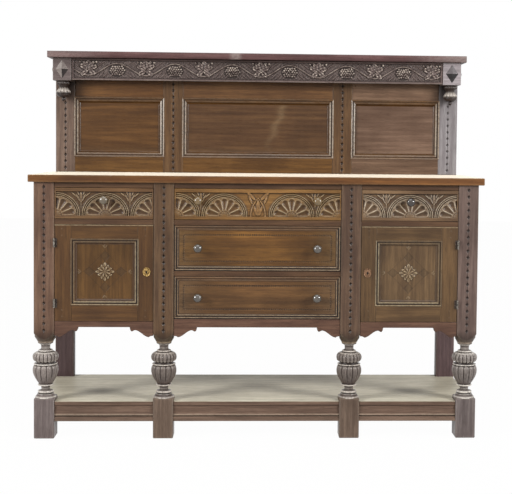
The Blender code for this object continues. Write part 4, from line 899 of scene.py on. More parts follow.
def fan(x, z, half_span):
    """Depth of a fan, in millimetres from its hub: seven gouged petals with thin ribs, then three arches."""
    x = x * FAN_RADIUS / half_span
    radius = np.hypot(x, z) / FAN_RADIUS
    turn = np.arctan2(z, x) / np.pi
    petal = 2 * np.abs(np.mod(turn * PETALS, 1) - 0.5)
    along = (radius - FAN_HUB) / (PETAL_END - FAN_HUB)
    end = np.hypot(petal * 1.06, np.clip((along - 0.74) / 0.26, 0, None))
    gouge = np.clip(1 - end ** 2, 0, 1) * np.clip(along * 6, 0, 1) * (2.2 + 3.8 * np.clip(along, 0, 1))
    arches = 2.3 - 1.9 * np.cos(2 * np.pi * (radius - 0.805) / ARCH_PITCH)
    hub = 2.0 - 2.0 * np.sqrt(np.clip(1 - (radius / 0.20) ** 2, 0, 1))
    hub += 0.9 * (np.abs(np.mod(turn * 5, 1) - 0.5) > 0.42) * (radius > 0.08)
    return np.where(radius < FAN_HUB, hub, np.where(radius < ARCH_START, 0.9 + gouge, arches)), radius


def bud(x, z):
    """Height of the bud between two arches: a pointed leaf over a stem, and three leaves to either side."""
    height = 3.4 * lens(x, z, (0, 44), (0, 84), 5.5) - 1.6 * np.clip(1 - np.abs(x) / 1.4, 0, 1) * (z > 48)
    for side in (-1, 1):
        height = np.maximum(height, 3.2 * lens(x, z, (side * 4, 50), (side * 17, 76), 3.2))
        height = np.maximum(height, 3.0 * lens(x, z, (side * 14, 66), (side * 34, 82), 3.0))
        height = np.maximum(height, 2.6 * lens(x, z, (side * 7, 70), (side * 14, 88), 2.6))
    return np.maximum(height, 2.2 * np.clip(1 - (x / 1.8) ** 2, 0, 1) * (z < 50))


def middle_leaf(x, z):
    """Depth of the leaf at the centre: two bands run up a pointed arch round an upright leaf, and two leaves
    on either side spring over it."""
    arch = 30.0 * np.clip(1 - (np.clip(z, 0, None) / 70.0) ** 2.1, 0, 1)
    off = arch - np.abs(x)
    bands = 0.8 + 2.8 * np.exp(-((off - 6.2) / 1.1) ** 2) + 2.8 * np.exp(-((off - 1.0) / 1.0) ** 2)
    leaf = 3.6 * lens(x, z, (0, 0), (0, 60), 7.0) - 1.4 * np.clip(1 - np.abs(x) / 1.3, 0, 1)
    over = np.zeros_like(x)
    for side in (-1, 1):
        leaf = np.maximum(leaf, 3.0 * lens(x, z, (side * 4, 2), (side * 16, 38), 5.2))
        over = np.maximum(over, 4.2 * lens(x, z, (side * 10, 58), (side * 40, 88), 6.5))
        over = np.maximum(over, 3.8 * lens(x, z, (side * 22, 44), (side * 34, 74), 4.2))
    inside = np.where(off > 6.5, 4.4 - np.clip(leaf, 0, None), bands)
    return np.where(off > 0, inside, 4.8 - over)


def frieze_carving(x, z, centres, half_span, half_field, gold):
    """Depth over a frieze drawer's front, from its middle and its bottom edge, in metres. Gold says how far a
    painted highlight lightens the plain borders above and below the carving, and a little of the field
    between the fans, where most and how wide."""
    x, z = x / mm, z / mm
    up = z - FIELD_LOW - 3.0
    deep = np.full(x.shape, GROUND_DEEP)
    nearest = np.full(x.shape, 9.0)
    leaf = np.zeros(x.shape, bool)
    for centre in centres:
        depth, radius = fan(x - centre, up, half_span)
        deep = np.where(radius < 1, depth, deep)
        nearest = np.minimum(nearest, radius)
    for first, second in zip(centres[:-1], centres[1:]):
        between = x - (first + second) / 2
        if second - first < 2.2 * half_span:
            deep = np.where(nearest >= 1, deep - bud(between, up), deep)
        else:
            leaf = (np.abs(between) < (second - first) / 2 - 0.2 * half_span) & (nearest >= 1)
            deep = np.where(leaf, middle_leaf(between, up), deep)
    sides = np.clip((half_field - np.abs(x)) / FIELD_EDGE, 0, 1)
    levels = np.clip(np.minimum(z - FIELD_LOW, FIELD_HIGH - z) / FIELD_EDGE, 0, 1)
    deep = np.clip(deep, 0, CARVED_DEEPEST) * sides * levels
    rub = np.where(nearest < ARCH_START, 0.55, np.where(nearest < 1, 0.38, 0.3)) * (sides * levels > 0.5)
    rub = np.where(leaf, 0.4 * rub, rub)
    border = np.where(z > FIELD_HIGH, 1.0, 0.55) * (levels < 0.5)
    most, where, wide = gold
    broad = np.exp(-((x - where) / wide) ** 2)
    tone = most * broad * np.where(levels < 0.5, border, 0.35 * (nearest >= 1) + 0.4 * leaf)
    return deep * mm, {"soot": np.clip(deep / GROUND_DEEP - 0.4, 0, 1) * 0.5, "rub": rub, "tone": tone}


# Ribs rubbed to a pale straw colour over brown hollows, warmest on the middle drawer
frieze_oak = {
    "left": oak("carved oak drawer", 0, "#412c1b", "#60472f", "#7a5f3f", "#c4b496", 0.34, 23.0),
    "centre": oak("carved golden oak drawer", 0, "#4a331b", "#6c4e2b", "#876538", "#c4b698", 0.32, 25.0),
    "right": oak("carved oak drawer front", 0, "#453324", "#67503a", "#826a4e", "#dcd0ba", 0.34, 27.0),
}
FAN_CENTRES = {
    "left": (-173.0, 5.0, 183.0),
    "centre": (-297.0, -124.0, 124.0, 297.0),
    "right": (-178.0, 0.0, 178.0),
}
# Of each drawer's painted highlight: how much lighter, where most and how wide, in mm
LIT_BORDERS = {"left": (0.5, 60, 110), "centre": (0.75, 0, 210), "right": (0.25, -60, 120)}
for place, centres in FAN_CENTRES.items():
    name = f"drawer_frieze_{place}"
    low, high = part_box(f"{name}_front")
    middle = (low.x + high.x) / 2
    half_span = (centres[1] - centres[0]) / 2
    half_field = (high.x - low.x) / 2 / mm - FIELD_SIDE
    relief(f"{name}_carved_front", low, high,
           lambda x, z: frieze_carving(x - middle, z - low.z, centres, half_span, half_field, LIT_BORDERS[place]),
           1.0 * mm, frieze_oak[place], name, "dark_oak", [f"{name}_front"])

# Plain drawers: two deeper drawers with a bead, a quirk and a second bead planted round a flat oak front, and
# a line of small nicks cut a little way inside them. The fronts are painted lighter and golden above their
# middle, a painted highlight, and greyer at their ends, a painted sheen.

DRAWER_MOULDING = [
    (0.0, 6.0, 0, 1), (0.0, 3.0, 0, 1), (2.2, 3.0, 0, 1), (2.6, 0.2, 0, 0.6), (3.4, -0.6, 0.35, 0),
    (4.4, -0.6, 0.35, 0), (6.2, 0.4, 0.1, 0), (6.6, 1.6, 0, 0.5), (7.0, 3.1, 0, 1), (11.6, 3.2, 0, 1),
    (12.0, 1.4, 0, 0.5), (12.8, 0.6, 0.35, 0), (13.8, 0.6, 0.35, 0), (15.6, 1.7, 0.1, 0), (16.0, 2.8, 0, 0.5),
    (16.3, 3.2, 0, 1), (18.4, 3.2, 0, 1), (18.8, 3.6, 0, 0.3), (21.5, 3.6, 0, 0), (21.5, 6.0, 0, 0),
]
BOARD_SETBACK, BOARD_INSET = 3.4 * mm, 0.4 * mm
NICK_INSET, NICK_PITCH, NICK_HALF, NICK_DEEP = 35, 8, 3.4, 1.9


def nicked_line(x, z, half_width, half_height):
    """Depth of a line of nicks between two scored lines, a little way inside the edge of a drawer front, from
    its middle. The stain is painted golden above the middle of the front, a painted highlight, and dull and
    greyer at its ends, a painted sheen."""
    x, z = np.abs(x) / mm, z / mm
    inside = np.minimum(half_width - x, half_height - np.abs(z)) - NICK_INSET
    along = np.where(half_width - x < half_height - np.abs(z), z, x)
    nick = 1.3 - np.abs(inside) / NICK_HALF - np.abs(np.mod(along, NICK_PITCH) - NICK_PITCH / 2) / NICK_HALF
    nick = np.clip(nick, 0, 1)
    line = 0.4 * np.clip(1 - np.abs(np.abs(inside) - NICK_HALF) / 1.2, 0, 1)
    middle = np.exp(-((x - 20) / 95) ** 2 - ((z - 42) / 34) ** 2)
    tone = 0.5 * middle + 0.12 * np.exp(-(x / 150) ** 2) - 0.12 * np.clip(x / half_width - 0.55, 0, 1) / 0.45
    ends = np.clip(x / half_width - 0.6, 0, 1) / 0.4
    soot = (nick > 0.02) * (0.22 + 0.65 * middle) + 0.05 * (line > 0)
    return np.maximum(NICK_DEEP * nick, line) * mm, {"soot": soot, "tone": tone, "bare": 0.14 * ends}


# A warm brown, with the beads polished and worn pale along the bottom, and painted highlights on their
# sides and along the top
bead_oak = oak("polished oak moulding", 0, "#332112", "#4f351d", "#684828", "#b0a086", 0.30, 30.0, shine=0.35)
drawer_oak = {
    "upper": oak("warm oak drawer", 0, "#3b2612", "#5a3d1d", "#765327", "#a98f68", 0.32, 29.0),
    "lower": oak("warm oak lower drawer", 0, "#382514", "#553b22", "#6e502f", "#a98f70", 0.32, 31.0),
}
for level, finish in drawer_oak.items():
    name = f"drawer_{level}"
    low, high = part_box(f"{name}_front")
    beads = moulding([(low.x, low.z, high.x, high.z)], low.y, DRAWER_MOULDING, (1.3, 1.2, 0.5, 0.9), 0.5)
    piece(f"{name}_moulding", beads, bead_oak, name, "warm_oak", sharp=20)
    middle_x, middle_z = (low.x + high.x) / 2, (low.z + high.z) / 2
    half_width, half_height = (high.x - low.x) / 2 / mm, (high.z - low.z) / 2 / mm
    relief(f"{name}_board", (low.x + BOARD_INSET, low.y + BOARD_SETBACK, low.z + BOARD_INSET),
           (high.x - BOARD_INSET, high.y, high.z - BOARD_INSET),
           lambda x, z: nicked_line(x - middle_x, z - middle_z, half_width, half_height), 1.5 * mm, finish,
           name, "warm_oak", [f"{name}_front"])

# Drawer knobs and boxes: each knob is turned from oak with a collar, a waist and a round head, and a pin of
# the same wood goes into the drawer's front. The boxes behind the fronts are of plain unstained oak.

KNOB_REACH = 30.0
KNOB_COLUMNS = 40
KNOB_PROFILE = np.vstack([
    slope(-12.0, -0.2, 5.0, 5.0, 3), bulge(-0.2, 4.0, 11.2, 12.0, 9.6, 0.45, 9), slope(4.2, 9.0, 9.0, 8.4, 6),
    bulge(9.0, KNOB_REACH, 8.8, 16.0, 0.6, 0.42, 30),
]) * mm
# Each pair is painted its own shade of one oak, paler or darker with the light it catches, as painted light
# and shade, with a bright, small highlight from its gloss
KNOB_SHADES = {
    "dark": ("#1d1713", "#2c2520", "#3e362f", "#9b9187", 0.14, 32.0, 0.0, 0.8),
    "grey": ("#35302a", "#4b453e", "#625b53", "#9b9187", 0.14, 33.0, 0.0, 0.9),
    "pale": ("#4a4132", "#625746", "#7b6f5a", "#c4b9a4", 0.16, 34.0, 0.0, 0.8),
    "golden": ("#54432a", "#6d5837", "#877047", "#b49c70", 0.2, 34.5, 0.0, 0.7),
}
knob_oak = {look: oak(f"painted-light {look} oak", 1, *stain) for look, stain in KNOB_SHADES.items()}
KNOB_LOOKS = {"drawer_frieze_left": "pale", "drawer_frieze_centre": "golden", "drawer_frieze_right": "dark"}
turn = turns(KNOB_COLUMNS)
reach, radius = KNOB_PROFILE[:, :1], KNOB_PROFILE[:, 1:]
for node in sorted(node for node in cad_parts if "_knob" in node):
    low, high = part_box(node)
    middle = (low + high) / 2
    face = low.y + KNOB_REACH * mm
    x, z = middle.x + radius * np.cos(turn), middle.z + radius * np.sin(turn)
    grid = np.stack([x, face - reach + 0 * turn, z], -1)
    body = node.split("_knob")[0]
    piece(f"turned_{node}", shell(grid), knob_oak[KNOB_LOOKS.get(body, "grey")], body, "knob_oak", [node])
dress([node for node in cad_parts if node.endswith("_box")], raw_oak["y"])

# Worktop: one wide board of oak with an eased edge, screwed down from inside the case. It is waxed, its top
# is painted paler for the light it reflects, and it mirrors the light behind it.

edge_oak = oak("waxed oak edge", 0, "#3e2513", "#5c3a1d", "#79522b", "#b08f62", 0.34, 35.0)
top_oak = oak("waxed oak top", 0, "#66503a", "#866c49", "#a0855c", "#c0a67e", 0.34, 36.0, 0.75)
board = box_shell([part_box("worktop")], 2.0 * mm, 5 * mm, 0.12)
worktop = piece("oak_worktop", board, edge_oak, "carcase", "dark_oak", ["worktop"],
                tone=np.where(board[0][:, 0] > 0, 0.2, 0.02))
paint_lit_top(worktop, top_oak)

# Gallery: an oak frame, tenoned and pegged like the doors, with a notched line up each stile and muntin.
# Three flat panels lie behind a planted moulding. The corners behind the canopy's drops are painted dark, a
# painted shadow of the drops.

DROP_X, CORNER_X, CORNER_TOP = 764 * mm, 800 * mm, 1.345
# Of the drops' painted shadow: its reach left and right of a drop, its fall, and its fade at the edge
SHADOW_LEFT, SHADOW_RIGHT, SHADOW_FALL, SHADOW_FADE = 60 * mm, 30 * mm, 82 * mm, 16 * mm
SHEEN_FROM = 0.74
STREAK_X, STREAK_Z, STREAK_LEAN, STREAK_WAVER, STREAK_WIDTH = 0.07, 1.16, 0.4, 0.006, 0.014
PANEL_FOOT = 1.055


def painted_corner_shadow(x, z):
    """Painted shadow in the corner behind each drop of the canopy: a bell curve across the drop, wider on the
    left, that fades at the gallery's edge and below the drop."""
    reach = np.where(x < 0, SHADOW_LEFT, SHADOW_RIGHT)
    beside = np.exp(-((np.abs(x) - DROP_X) / reach) ** 2) * np.clip((CORNER_X - np.abs(x)) / SHADOW_FADE, 0, 1)
    return 0.95 * beside * np.exp(-(np.clip(CORNER_TOP - z, 0, None) / SHADOW_FALL) ** 4)


def notched_board(x, z, middle, bottom, top):
    """Depth of a board with the notched line up its middle, the soot that has gathered in the notches and the
    drops' painted shadow. The right end of the gallery is painted paler with a painted sheen, and only half
    of the soot shows there."""
    deep = notches(x - middle, z, bottom, top)
    held = np.where(x > SHEEN_FROM, 0.5, 1.0)
    return deep, {"soot": np.maximum(held * np.clip(deep / SOOTED_NOTCH, 0, 1), painted_corner_shadow(x, z))}


def streaked_panel(x, z):
    """A flat panel, with a pale streak that leans and wavers right of the middle, and a little pale along the
    lower edge."""
    leaning = x - STREAK_X - STREAK_LEAN * (z - STREAK_Z) - STREAK_WAVER * np.sin(z * 90)
    streak = np.exp(-(leaning / STREAK_WIDTH) ** 2) * np.clip((z - 1.06) / 0.1, 0, 1)
    low_edge = np.exp(-((z - PANEL_FOOT) / 0.02) ** 2)
    return 0 * x, {"bare": 0.22 * streak + 0.06 * low_edge}


def shadowed_top_rail(x, z):
    """A flat top rail, a little darker all over, with the drops' painted shadow in its corner."""
    return 0 * x, {"soot": painted_corner_shadow(x, z), "tone": -0.06}


UPRIGHTS = np.array([(-819.0, -742.0), (-385.5, -305.5), (305.5, 385.5), (742.0, 819.0)]) * mm
WINDOW_LOW, WINDOW_HIGH = 66 * mm, 300.5 * mm
NOTCH_MARGIN = 4 * mm
GALLERY_PEG_INSET, GALLERY_PEG_RISES, GALLERY_PEG_RADIUS = 12 * mm, (60 * mm, 110 * mm), 3.2 * mm
GALLERY_MOULDING = [
    (-4.0, 3.0, 0, 0), (-4.0, 0.0, 0, 0.3), (-3.4, -1.6, 0.4, 0), (-2.6, -1.8, 0.5, 0), (2.0, 0.2, 0.3, 0.1),
    (2.4, 1.6, 0, 0.4), (3.0, 4.8, 0, 0.9), (6.2, 5.0, 0, 0.9), (6.8, 3.4, 0, 0.3), (7.6, 2.8, 0.6, 0),
    (13.0, 5.2, 0.3, 0.1), (13.4, 6.6, 0, 0.5), (15.0, 9.0, 0, 0.3), (19.0, 12.6, 0, 0.3),
    (20.5, 13.3, 0, 0.4), (20.5, 15.0, 0, 0), (6.0, 15.0, 0, 0),
]
# The same stain as the case, painted greyer at the two ends and paler toward the right: a painted sheen where
# the lamps reflect
upright_oak = [
    oak("greyed gallery upright", 2, "#493930", "#6b584c", "#847062", "#a3927b", 0.36, 38.0),
    oak("gallery oak upright", 2, "#3e2b1b", "#5c432c", "#775c3e", "#a3927b", 0.36, 37.0),
    oak("faded gallery upright", 2, "#5b5455", "#827d7e", "#999495", "#b5aca4", 0.36, 40.0),
]
low_rail_oak = oak("gallery oak rail", 0, "#412a14", "#614322", "#7b592f", "#9c8666", 0.32, 39.0)
top_rail_oak = [
    oak("left gallery top rail", 0, "#432a16", "#634325", "#7d5932", "#9c8666", 0.32, 50.0),
    oak("middle gallery top rail", 0, "#442c1b", "#65472c", "#7f5d3a", "#9c8666", 0.32, 51.0),
    oak("faded gallery top rail", 0, "#523d2e", "#775d4a", "#90755f", "#9c8666", 0.32, 52.0),
]
panel_oak = [
    oak("left gallery panel", 0, "#392310", "#563a1e", "#6e4d2a", "#9c8666", 0.30, 41.0),
    oak("middle gallery panel", 0, "#372415", "#533a25", "#6a4e31", "#9c8666", 0.30, 47.0),
    oak("faded gallery panel", 0, "#493528", "#6a5344", "#826a58", "#9c8666", 0.30, 49.0),
]
gallery_bead_oak = oak("gallery polished moulding", 0, "#38220f", "#55391c", "#6d4c27", "#cabfae", 0.26, 42.0,
                       shine=0.35)
low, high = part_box("gallery_frame")
for number, (left, right) in enumerate(UPRIGHTS):
    middle = (left + right) / 2
    relief(f"gallery_upright_{number + 1}", (left, low.y, low.z), (right, high.y, high.z),
           lambda x, z: notched_board(x, z, middle, low.z + NOTCH_MARGIN, high.z - NOTCH_MARGIN), 1.6 * mm,
           upright_oak[(0, 1, 1, 2)[number]], "carcase", "dark_oak", ["gallery_frame"] if number == 0 else ())
windows = [(left[1], low.z + WINDOW_LOW, right[0], low.z + WINDOW_HIGH)
           for left, right in zip(UPRIGHTS[:-1], UPRIGHTS[1:])]
face = low.y + FIT
for number, (x0, z0, x1, z1) in enumerate(windows):
    rail = box_shell([((x0, face, low.z), (x1, high.y, z0))], 0.8 * mm, 2.5 * mm, 0.05)
    # The right low rail takes the right end's painted grey sheen, toned darker
    finish, tone = ((low_rail_oak, -0.04), (low_rail_oak, -0.03), (top_rail_oak[2], -0.26))[number]
    piece(f"gallery_rail_{number + 1}", rail, finish, "carcase", "dark_oak", tone=tone)
for number, (x0, z0, x1, z1) in enumerate(windows):
    relief(f"gallery_top_rail_{number + 1}", (x0, face, z1), (x1, high.y, high.z), shadowed_top_rail, 4 * mm,
           top_rail_oak[number], "carcase", "dark_oak")
# The beads are paler on the sides and lighter along the top: partly wear, partly painted highlight
beads = moulding(windows, low.y, GALLERY_MOULDING, (0.25, 1.0, 0.2, 0.8), 0.08)
piece("gallery_moulding", beads, gallery_bead_oak, "carcase", "dark_oak", sharp=20)
spots = [(x, z1 + rise) for x0, z0, x1, z1 in windows
         for x in (x0 + GALLERY_PEG_INSET, x1 - GALLERY_PEG_INSET) for rise in GALLERY_PEG_RISES]
piece("gallery_pegs", pegs(spots, face, GALLERY_PEG_RADIUS), upright_oak[1], "carcase", "dark_oak")
low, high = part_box("gallery_panel")
joints = (low.x, *UPRIGHTS[1:3].mean(1), high.x)
for number, (left, right) in enumerate(zip(joints[:-1], joints[1:])):
    relief(f"gallery_panel_{number + 1}", (left, low.y, low.z), (right, high.y, high.z), streaked_panel, 5 * mm,
           panel_oak[number], "carcase", "warm_oak", ["gallery_panel"] if number == 0 else (), arris=0.2 * mm)

# Canopy: a frieze board carved with a running vine, under a narrow top board, both of oak and screwed to the
# gallery. A square block with a raised diamond closes each end, and a turned drop hangs below it.

VINE_PITCH, VINE_START, VINE_SWING = 230.0, 10.0, 24.0
# Of each lobe of a leaf and each slip: where it starts and ends and its half width, in millimetres
LEAF_LOBES = [((1, 2), (-4, 36), 12.0), ((0, 3), (-35, 13), 10.0), ((2, 3), (33, 17), 10.0),
              ((-1, -1), (-29, -22), 9.0), ((2, -1), (26, -25), 9.0), ((-2, 8), (-24, 30), 6.0),
              ((4, 8), (20, 33), 6.0)]
SLIPS = [((42, -31), (64, -7), 3.2), ((55, -33), (78, -13), 3.0), ((36, 10), (56, 26), 3.2),
         ((78, 10), (88, 31), 3.0), ((52, 22), (66, 33), 2.6), ((86, -32), (96, -20), 3.0)]
BERRY_OUT, BERRY_UP, BERRY_RADIUS = 33, 29, 4.0
GRAPE_ACROSS, GRAPE_UP, GRAPE_RADIUS, BUNCH_DROP = 9.2, 7.8, 3.7, 4
FRIEZE_HALF, FRIEZE_EDGE, FRIEZE_RIM, FRIEZE_MARGIN = 36.5, 1.5, 42, 8


def vine_carving(x, z, half_length):
    """Depth over the frieze, from its middle, in metres: a stem waves over bunches of grapes and under leaves
    every 230 mm, slips of leaf and berries spring from it, and the ground behind is matted with a punch."""
    x, z = x / mm - VINE_START, z / mm
    leaf_x = np.mod(x + VINE_PITCH / 2, VINE_PITCH) - VINE_PITCH / 2
    bunch_x = np.mod(x, VINE_PITCH) - VINE_PITCH / 2
    phase = 2 * np.pi * leaf_x / VINE_PITCH
    lean = VINE_SWING * 2 * np.pi / VINE_PITCH * np.sin(phase)
    off = (z + VINE_SWING * np.cos(phase)) / np.sqrt(1 + lean ** 2)
    height = 4.2 * np.sqrt(np.clip(1 - (off / 3.0) ** 2, 0, 1))
    rub = 0.08 + 0.28 * np.abs(np.sin(2.3 * phase + 0.8 * np.floor(x / VINE_PITCH)))
    for side in (-1, 1):
        for start, end, width in SLIPS:
            slip = lens(leaf_x, z, (side * start[0], start[1]), (side * end[0], end[1]), width)
            height = np.maximum(height, 2.6 * slip)
            rub = np.where(slip > 0, 0.07, rub)
        berry = np.hypot(leaf_x - side * BERRY_OUT, z - BERRY_UP)
        height = np.maximum(height, 5.4 * np.sqrt(np.clip(1 - (berry / BERRY_RADIUS) ** 2, 0, 1)))
        rub = np.where(berry < BERRY_RADIUS, 0.9 if side > 0 else 0.3, rub)
    handed = np.where(np.mod(np.floor(x / VINE_PITCH + 0.5), 2) < 1, leaf_x, -leaf_x)
    curl = np.sin(0.33 * x + 1.9 * np.sin(0.21 * z)) * np.sin(0.36 * z + 0.13 * x)
    for root, tip, width in LEAF_LOBES:
        lobe = lens(handed, z, root, tip, width)
        blade = (3.4 + 1.8 * lobe + 1.3 * curl - 2.2 * (lobe > 0.985)) * (lobe > 0)
        rub = np.where(blade > height, 0.12 + 0.6 * np.clip(1.5 * curl, 0, 1), rub)
        height = np.maximum(height, blade)
    row = np.round((z + BUNCH_DROP) / GRAPE_UP)
    shift = 0.5 * np.mod(row, 2)
    column = np.round(bunch_x / GRAPE_ACROSS - shift) + shift
    within = (GRAPE_ACROSS * column / 32) ** 2 + (GRAPE_UP * row / 23) ** 2 < 1
    chance = np.mod(43.7 * np.sin(12.99 * column + 78.23 * row + 3.1 * np.floor(x / VINE_PITCH)), 1)
    grape = np.hypot((bunch_x - GRAPE_ACROSS * column - 1.8 * chance) * 0.9,
                     z + BUNCH_DROP - GRAPE_UP * row + 1.6 * np.cos(9 * chance))
    grapes = 1.2 + 4.6 * np.sqrt(np.clip(1 - (grape / GRAPE_RADIUS) ** 2, 0, 1))
    grapes = grapes * (within & (grape < GRAPE_RADIUS))
    height = np.maximum(height, grapes)
    rub = np.where(grapes > 0, np.where(row > 0, 0.45, 0.1) + 0.6 * chance ** 2, rub)
    # Painted shade on the ground among the grapes of each bunch
    dark = 0.9 * ((bunch_x / 35) ** 2 + ((z + BUNCH_DROP) / 27) ** 2 < 1)
    mat = np.cos(2 * np.pi * x / 7.3 + 1.7 * np.sin(2 * np.pi * z / 11))
    mat = mat * np.cos(2 * np.pi * z / 6.1 + 1.3 * np.sin(2 * np.pi * x / 13))
    field = np.clip((half_length - np.abs(x + VINE_START)) / FRIEZE_EDGE, 0, 1)
    field = np.clip((FRIEZE_HALF - np.abs(z)) / FRIEZE_EDGE, 0, 1) * field
    deep = np.clip(GROUND_DEEP + 0.9 * mat - height, 0, CARVED_DEEPEST) * field
    flat = (height < 0.4) * field
    soot = np.clip(deep / GROUND_DEEP - 0.5, 0, 1) * 0.3 + flat * (0.35 * np.clip(mat, 0, 1) + dark)
    edge = 0.45 * np.clip(1 - np.abs(z + FRIEZE_RIM) / 1.6, 0, 1)
    bare = edge + 0.14 * flat * np.clip(-mat, 0, 1)
    return deep * mm, {"soot": soot, "rub": rub * (field > 0.5), "bare": bare}


GREYED_FROM, SCUFF_X, SCUFF_HALF = 0.58, -0.092, 0.018


def weathered_edge(x, z):
    """The canopy's edge, flat: its ends have gone grey, and a patch near its middle is scuffed pale."""
    grey = np.where(x < 0, 0.32, 0.42) * np.clip((np.abs(x) - GREYED_FROM) / 0.25, 0, 1)
    scuff = 0.45 * np.clip(1.6 - np.abs(x - SCUFF_X) / SCUFF_HALF, 0, 1)
    return np.zeros_like(x), {"bare": np.maximum(grey, scuff)}


# Greyer than the case and dull, with pale rubbed berries and a top board that has gone red
canopy_oak = oak("carved oak canopy", 0, "#372b28", "#554744", "#6f615c", "#c0b2a6", 0.36, 43.0)
canopy_top_oak = oak("reddened oak board", 0, "#3c2928", "#573e3d", "#705553", "#958c87", 0.5, 45.0,
                     shine=0.16)
# The end blocks are greyer than the frieze, a painted sheen, paler still on the right
block_oak = {
    "left": oak("greyed oak block", 0, "#413735", "#5f5452", "#786c69", "#c6beb4", 0.36, 44.0),
    "right": oak("faded oak block", 0, "#696163", "#8f8789", "#a69fa1", "#c6beb4", 0.36, 46.0),
}
low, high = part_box("canopy_frieze")
middle_z = (low.z + high.z) / 2
half_length = high.x / mm - FRIEZE_MARGIN
relief("vine_frieze", low, high, lambda x, z: vine_carving(x, z - middle_z, half_length), 1.22 * mm,
       canopy_oak, "carcase", "dark_oak", ["canopy_frieze"], crest=1.3 * mm, reach=3.2 * mm)
relief("canopy_board", *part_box("canopy_top"), weathered_edge, 4 * mm, canopy_top_oak, "carcase", "dark_oak",
       ["canopy_top"], 2 * mm)

BLOCK_WIDTH, BLOCK_DEPTH, BLOCK_HEIGHT = 73 * mm, 72 * mm, 90 * mm
DIAMOND_HALF_WIDTH, DIAMOND_HALF_HEIGHT, DIAMOND_PROUD, DIAMOND_SUNK = 27 * mm, 39 * mm, 9 * mm, 0.5 * mm
# The painted highlight and the painted light and shade of a diamond's four facets, from the upper right round
# to the lower right
LIT_FACETS = {
    "left": ((0.12, 0.2, 0.2, 0.0), (0.1, 0.1, 0.1, -0.75)),
    "right": ((0.0, 0.0, 0.0, 0.0), (-0.56, -0.54, -0.92, -0.94)),
}


def diamond(middle, outward, facet_highlight, facet_shading):
    """A four-sided pyramid on a vertical face, its base a little sunk, pointing along -Y or along X. Each
    facet carries its own painted light and shade.
    """
    away = np.array(outward, float)
    across = DIAMOND_HALF_WIDTH * (np.array([1.0, 0, 0]) if outward[1] else np.array([0, 1.0, 0]))
    up = np.array([0, 0, DIAMOND_HALF_HEIGHT])
    base = [np.array(middle) + corner - away * DIAMOND_SUNK for corner in (across, up, -across, -up)]
    point = np.array(middle) + away * DIAMOND_PROUD
    points = np.vstack([[base[turn], base[(turn + 1) % 4], point] for turn in range(4)])
    faces = [[3 * turn, 3 * turn + 1, 3 * turn + 2] for turn in range(4)]
    normal = np.cross(points[1] - points[0], points[2] - points[0])
    if np.dot(normal, away) < 0:
        faces = [face[::-1] for face in faces]
    return points, faces, {"wear": np.repeat(facet_highlight, 3), "tone": np.repeat(facet_shading, 3)}


# Heights on the drops are in millimetres below the block
DROP_LOBES, DROP_COLUMNS = 12, 120
BELL, COLLAR = (-47, -26), (-17.8, -2)
DROP_RUNS = [
    bulge(-81, -66, 0.8, 7.0, 5.5, 0.5, 12), bulge(-66, -52, 8.0, 26.0, 25.5, 0.9, 16),
    bulge(-52, -47, 26.0, 28.5, 28.0, 0.5, 7), slope(*BELL, 29.5, 17.5, 20), slope(-25.8, -18, 16.5, 19.0, 7),
    bulge(*COLLAR, 20.0, 25.8, 23.0, 0.5, 16), slope(-1.8, 0, 22.0, 22.0, 3),
]


def drop_shell(middle_x, middle_y, top):
    """The turned drop, from its tip up: a button, a waist, a lobed bell, a neck and a ring under the block.
    The bell is rubbed pale and lit with a painted highlight, and the rest is painted dark as shade."""
    profile = np.vstack(DROP_RUNS) * mm
    turn = turns(DROP_COLUMNS)
    height, radius = profile[:, :1], profile[:, 1:]
    carved = lobes(turn, DROP_LOBES, -height, 40 * mm, 60 * mm, 4.0 * mm)
    carved = carved * ((height > BELL[0] * mm) & (height < BELL[1] * mm))
    beads = lobes(turn, 2 * DROP_LOBES, -height, 30 * mm, 40 * mm, 2.6 * mm)
    beads = beads * ((height > COLLAR[0] * mm) & (height < COLLAR[1] * mm))
    around = radius - (carved + beads)
    x, y = middle_x + around * np.sin(turn), middle_y - around * np.cos(turn)
    grid = np.stack([x, y, top + height + 0 * turn], -1)
    marks = worn(around, (1.0 * mm, 1.3 * mm), 2.2 * mm, 1.4 * mm)
    level = np.broadcast_to(height / mm, around.shape).ravel()
    bell = np.clip(1.4 - np.abs(level + 37) / 10, 0, 1)
    collar = np.clip(1.2 - np.abs(level + 8) / 4, 0, 1)
    return shell(grid, {"wear": np.clip(bell * (marks["wear"] + 0.6) + 0.5 * collar * marks["wear"], 0, 1),
                        "soot": np.clip(marks["soot"] + 0.7 * (1 - bell), 0, 1)})


for side, sign in SIDES:
    name = f"canopy_block_{side}"
    low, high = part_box(name)
    outer = UPRIGHTS[-1][1] * sign
    left, right = sorted((outer - sign * BLOCK_WIDTH, outer))
    front, bottom = high.y - BLOCK_DEPTH, high.z - BLOCK_HEIGHT
    middle_x, middle_y, middle_z = (left + right) / 2, high.y - BLOCK_DEPTH / 2, high.z - BLOCK_HEIGHT / 2
    corners = ((left, front, bottom), (right, high.y, high.z))
    points, faces, marks = box_shell([corners], rub=0.1)
    block = joined([(points, faces, {"wear": marks["wear"]}),
                    diamond((middle_x, front, middle_z), (0, -1, 0), *LIT_FACETS[side]),
                    diamond((outer, middle_y, middle_z), (sign, 0, 0), *LIT_FACETS[side])])
    piece(f"canopy_end_{side}", block, block_oak[side], "carcase", "dark_oak", [name], sharp=10)
    drop = drop_shell(middle_x, middle_y, bottom)
    piece(f"canopy_drop_{side}", drop, leg_oak["inner"], "carcase", "dark_oak")

# Studio: a pale floor that keeps a soft shadow, a white background, a soft lamp in front on either side and
# one overhead, and a camera at the photograph's viewing angle.


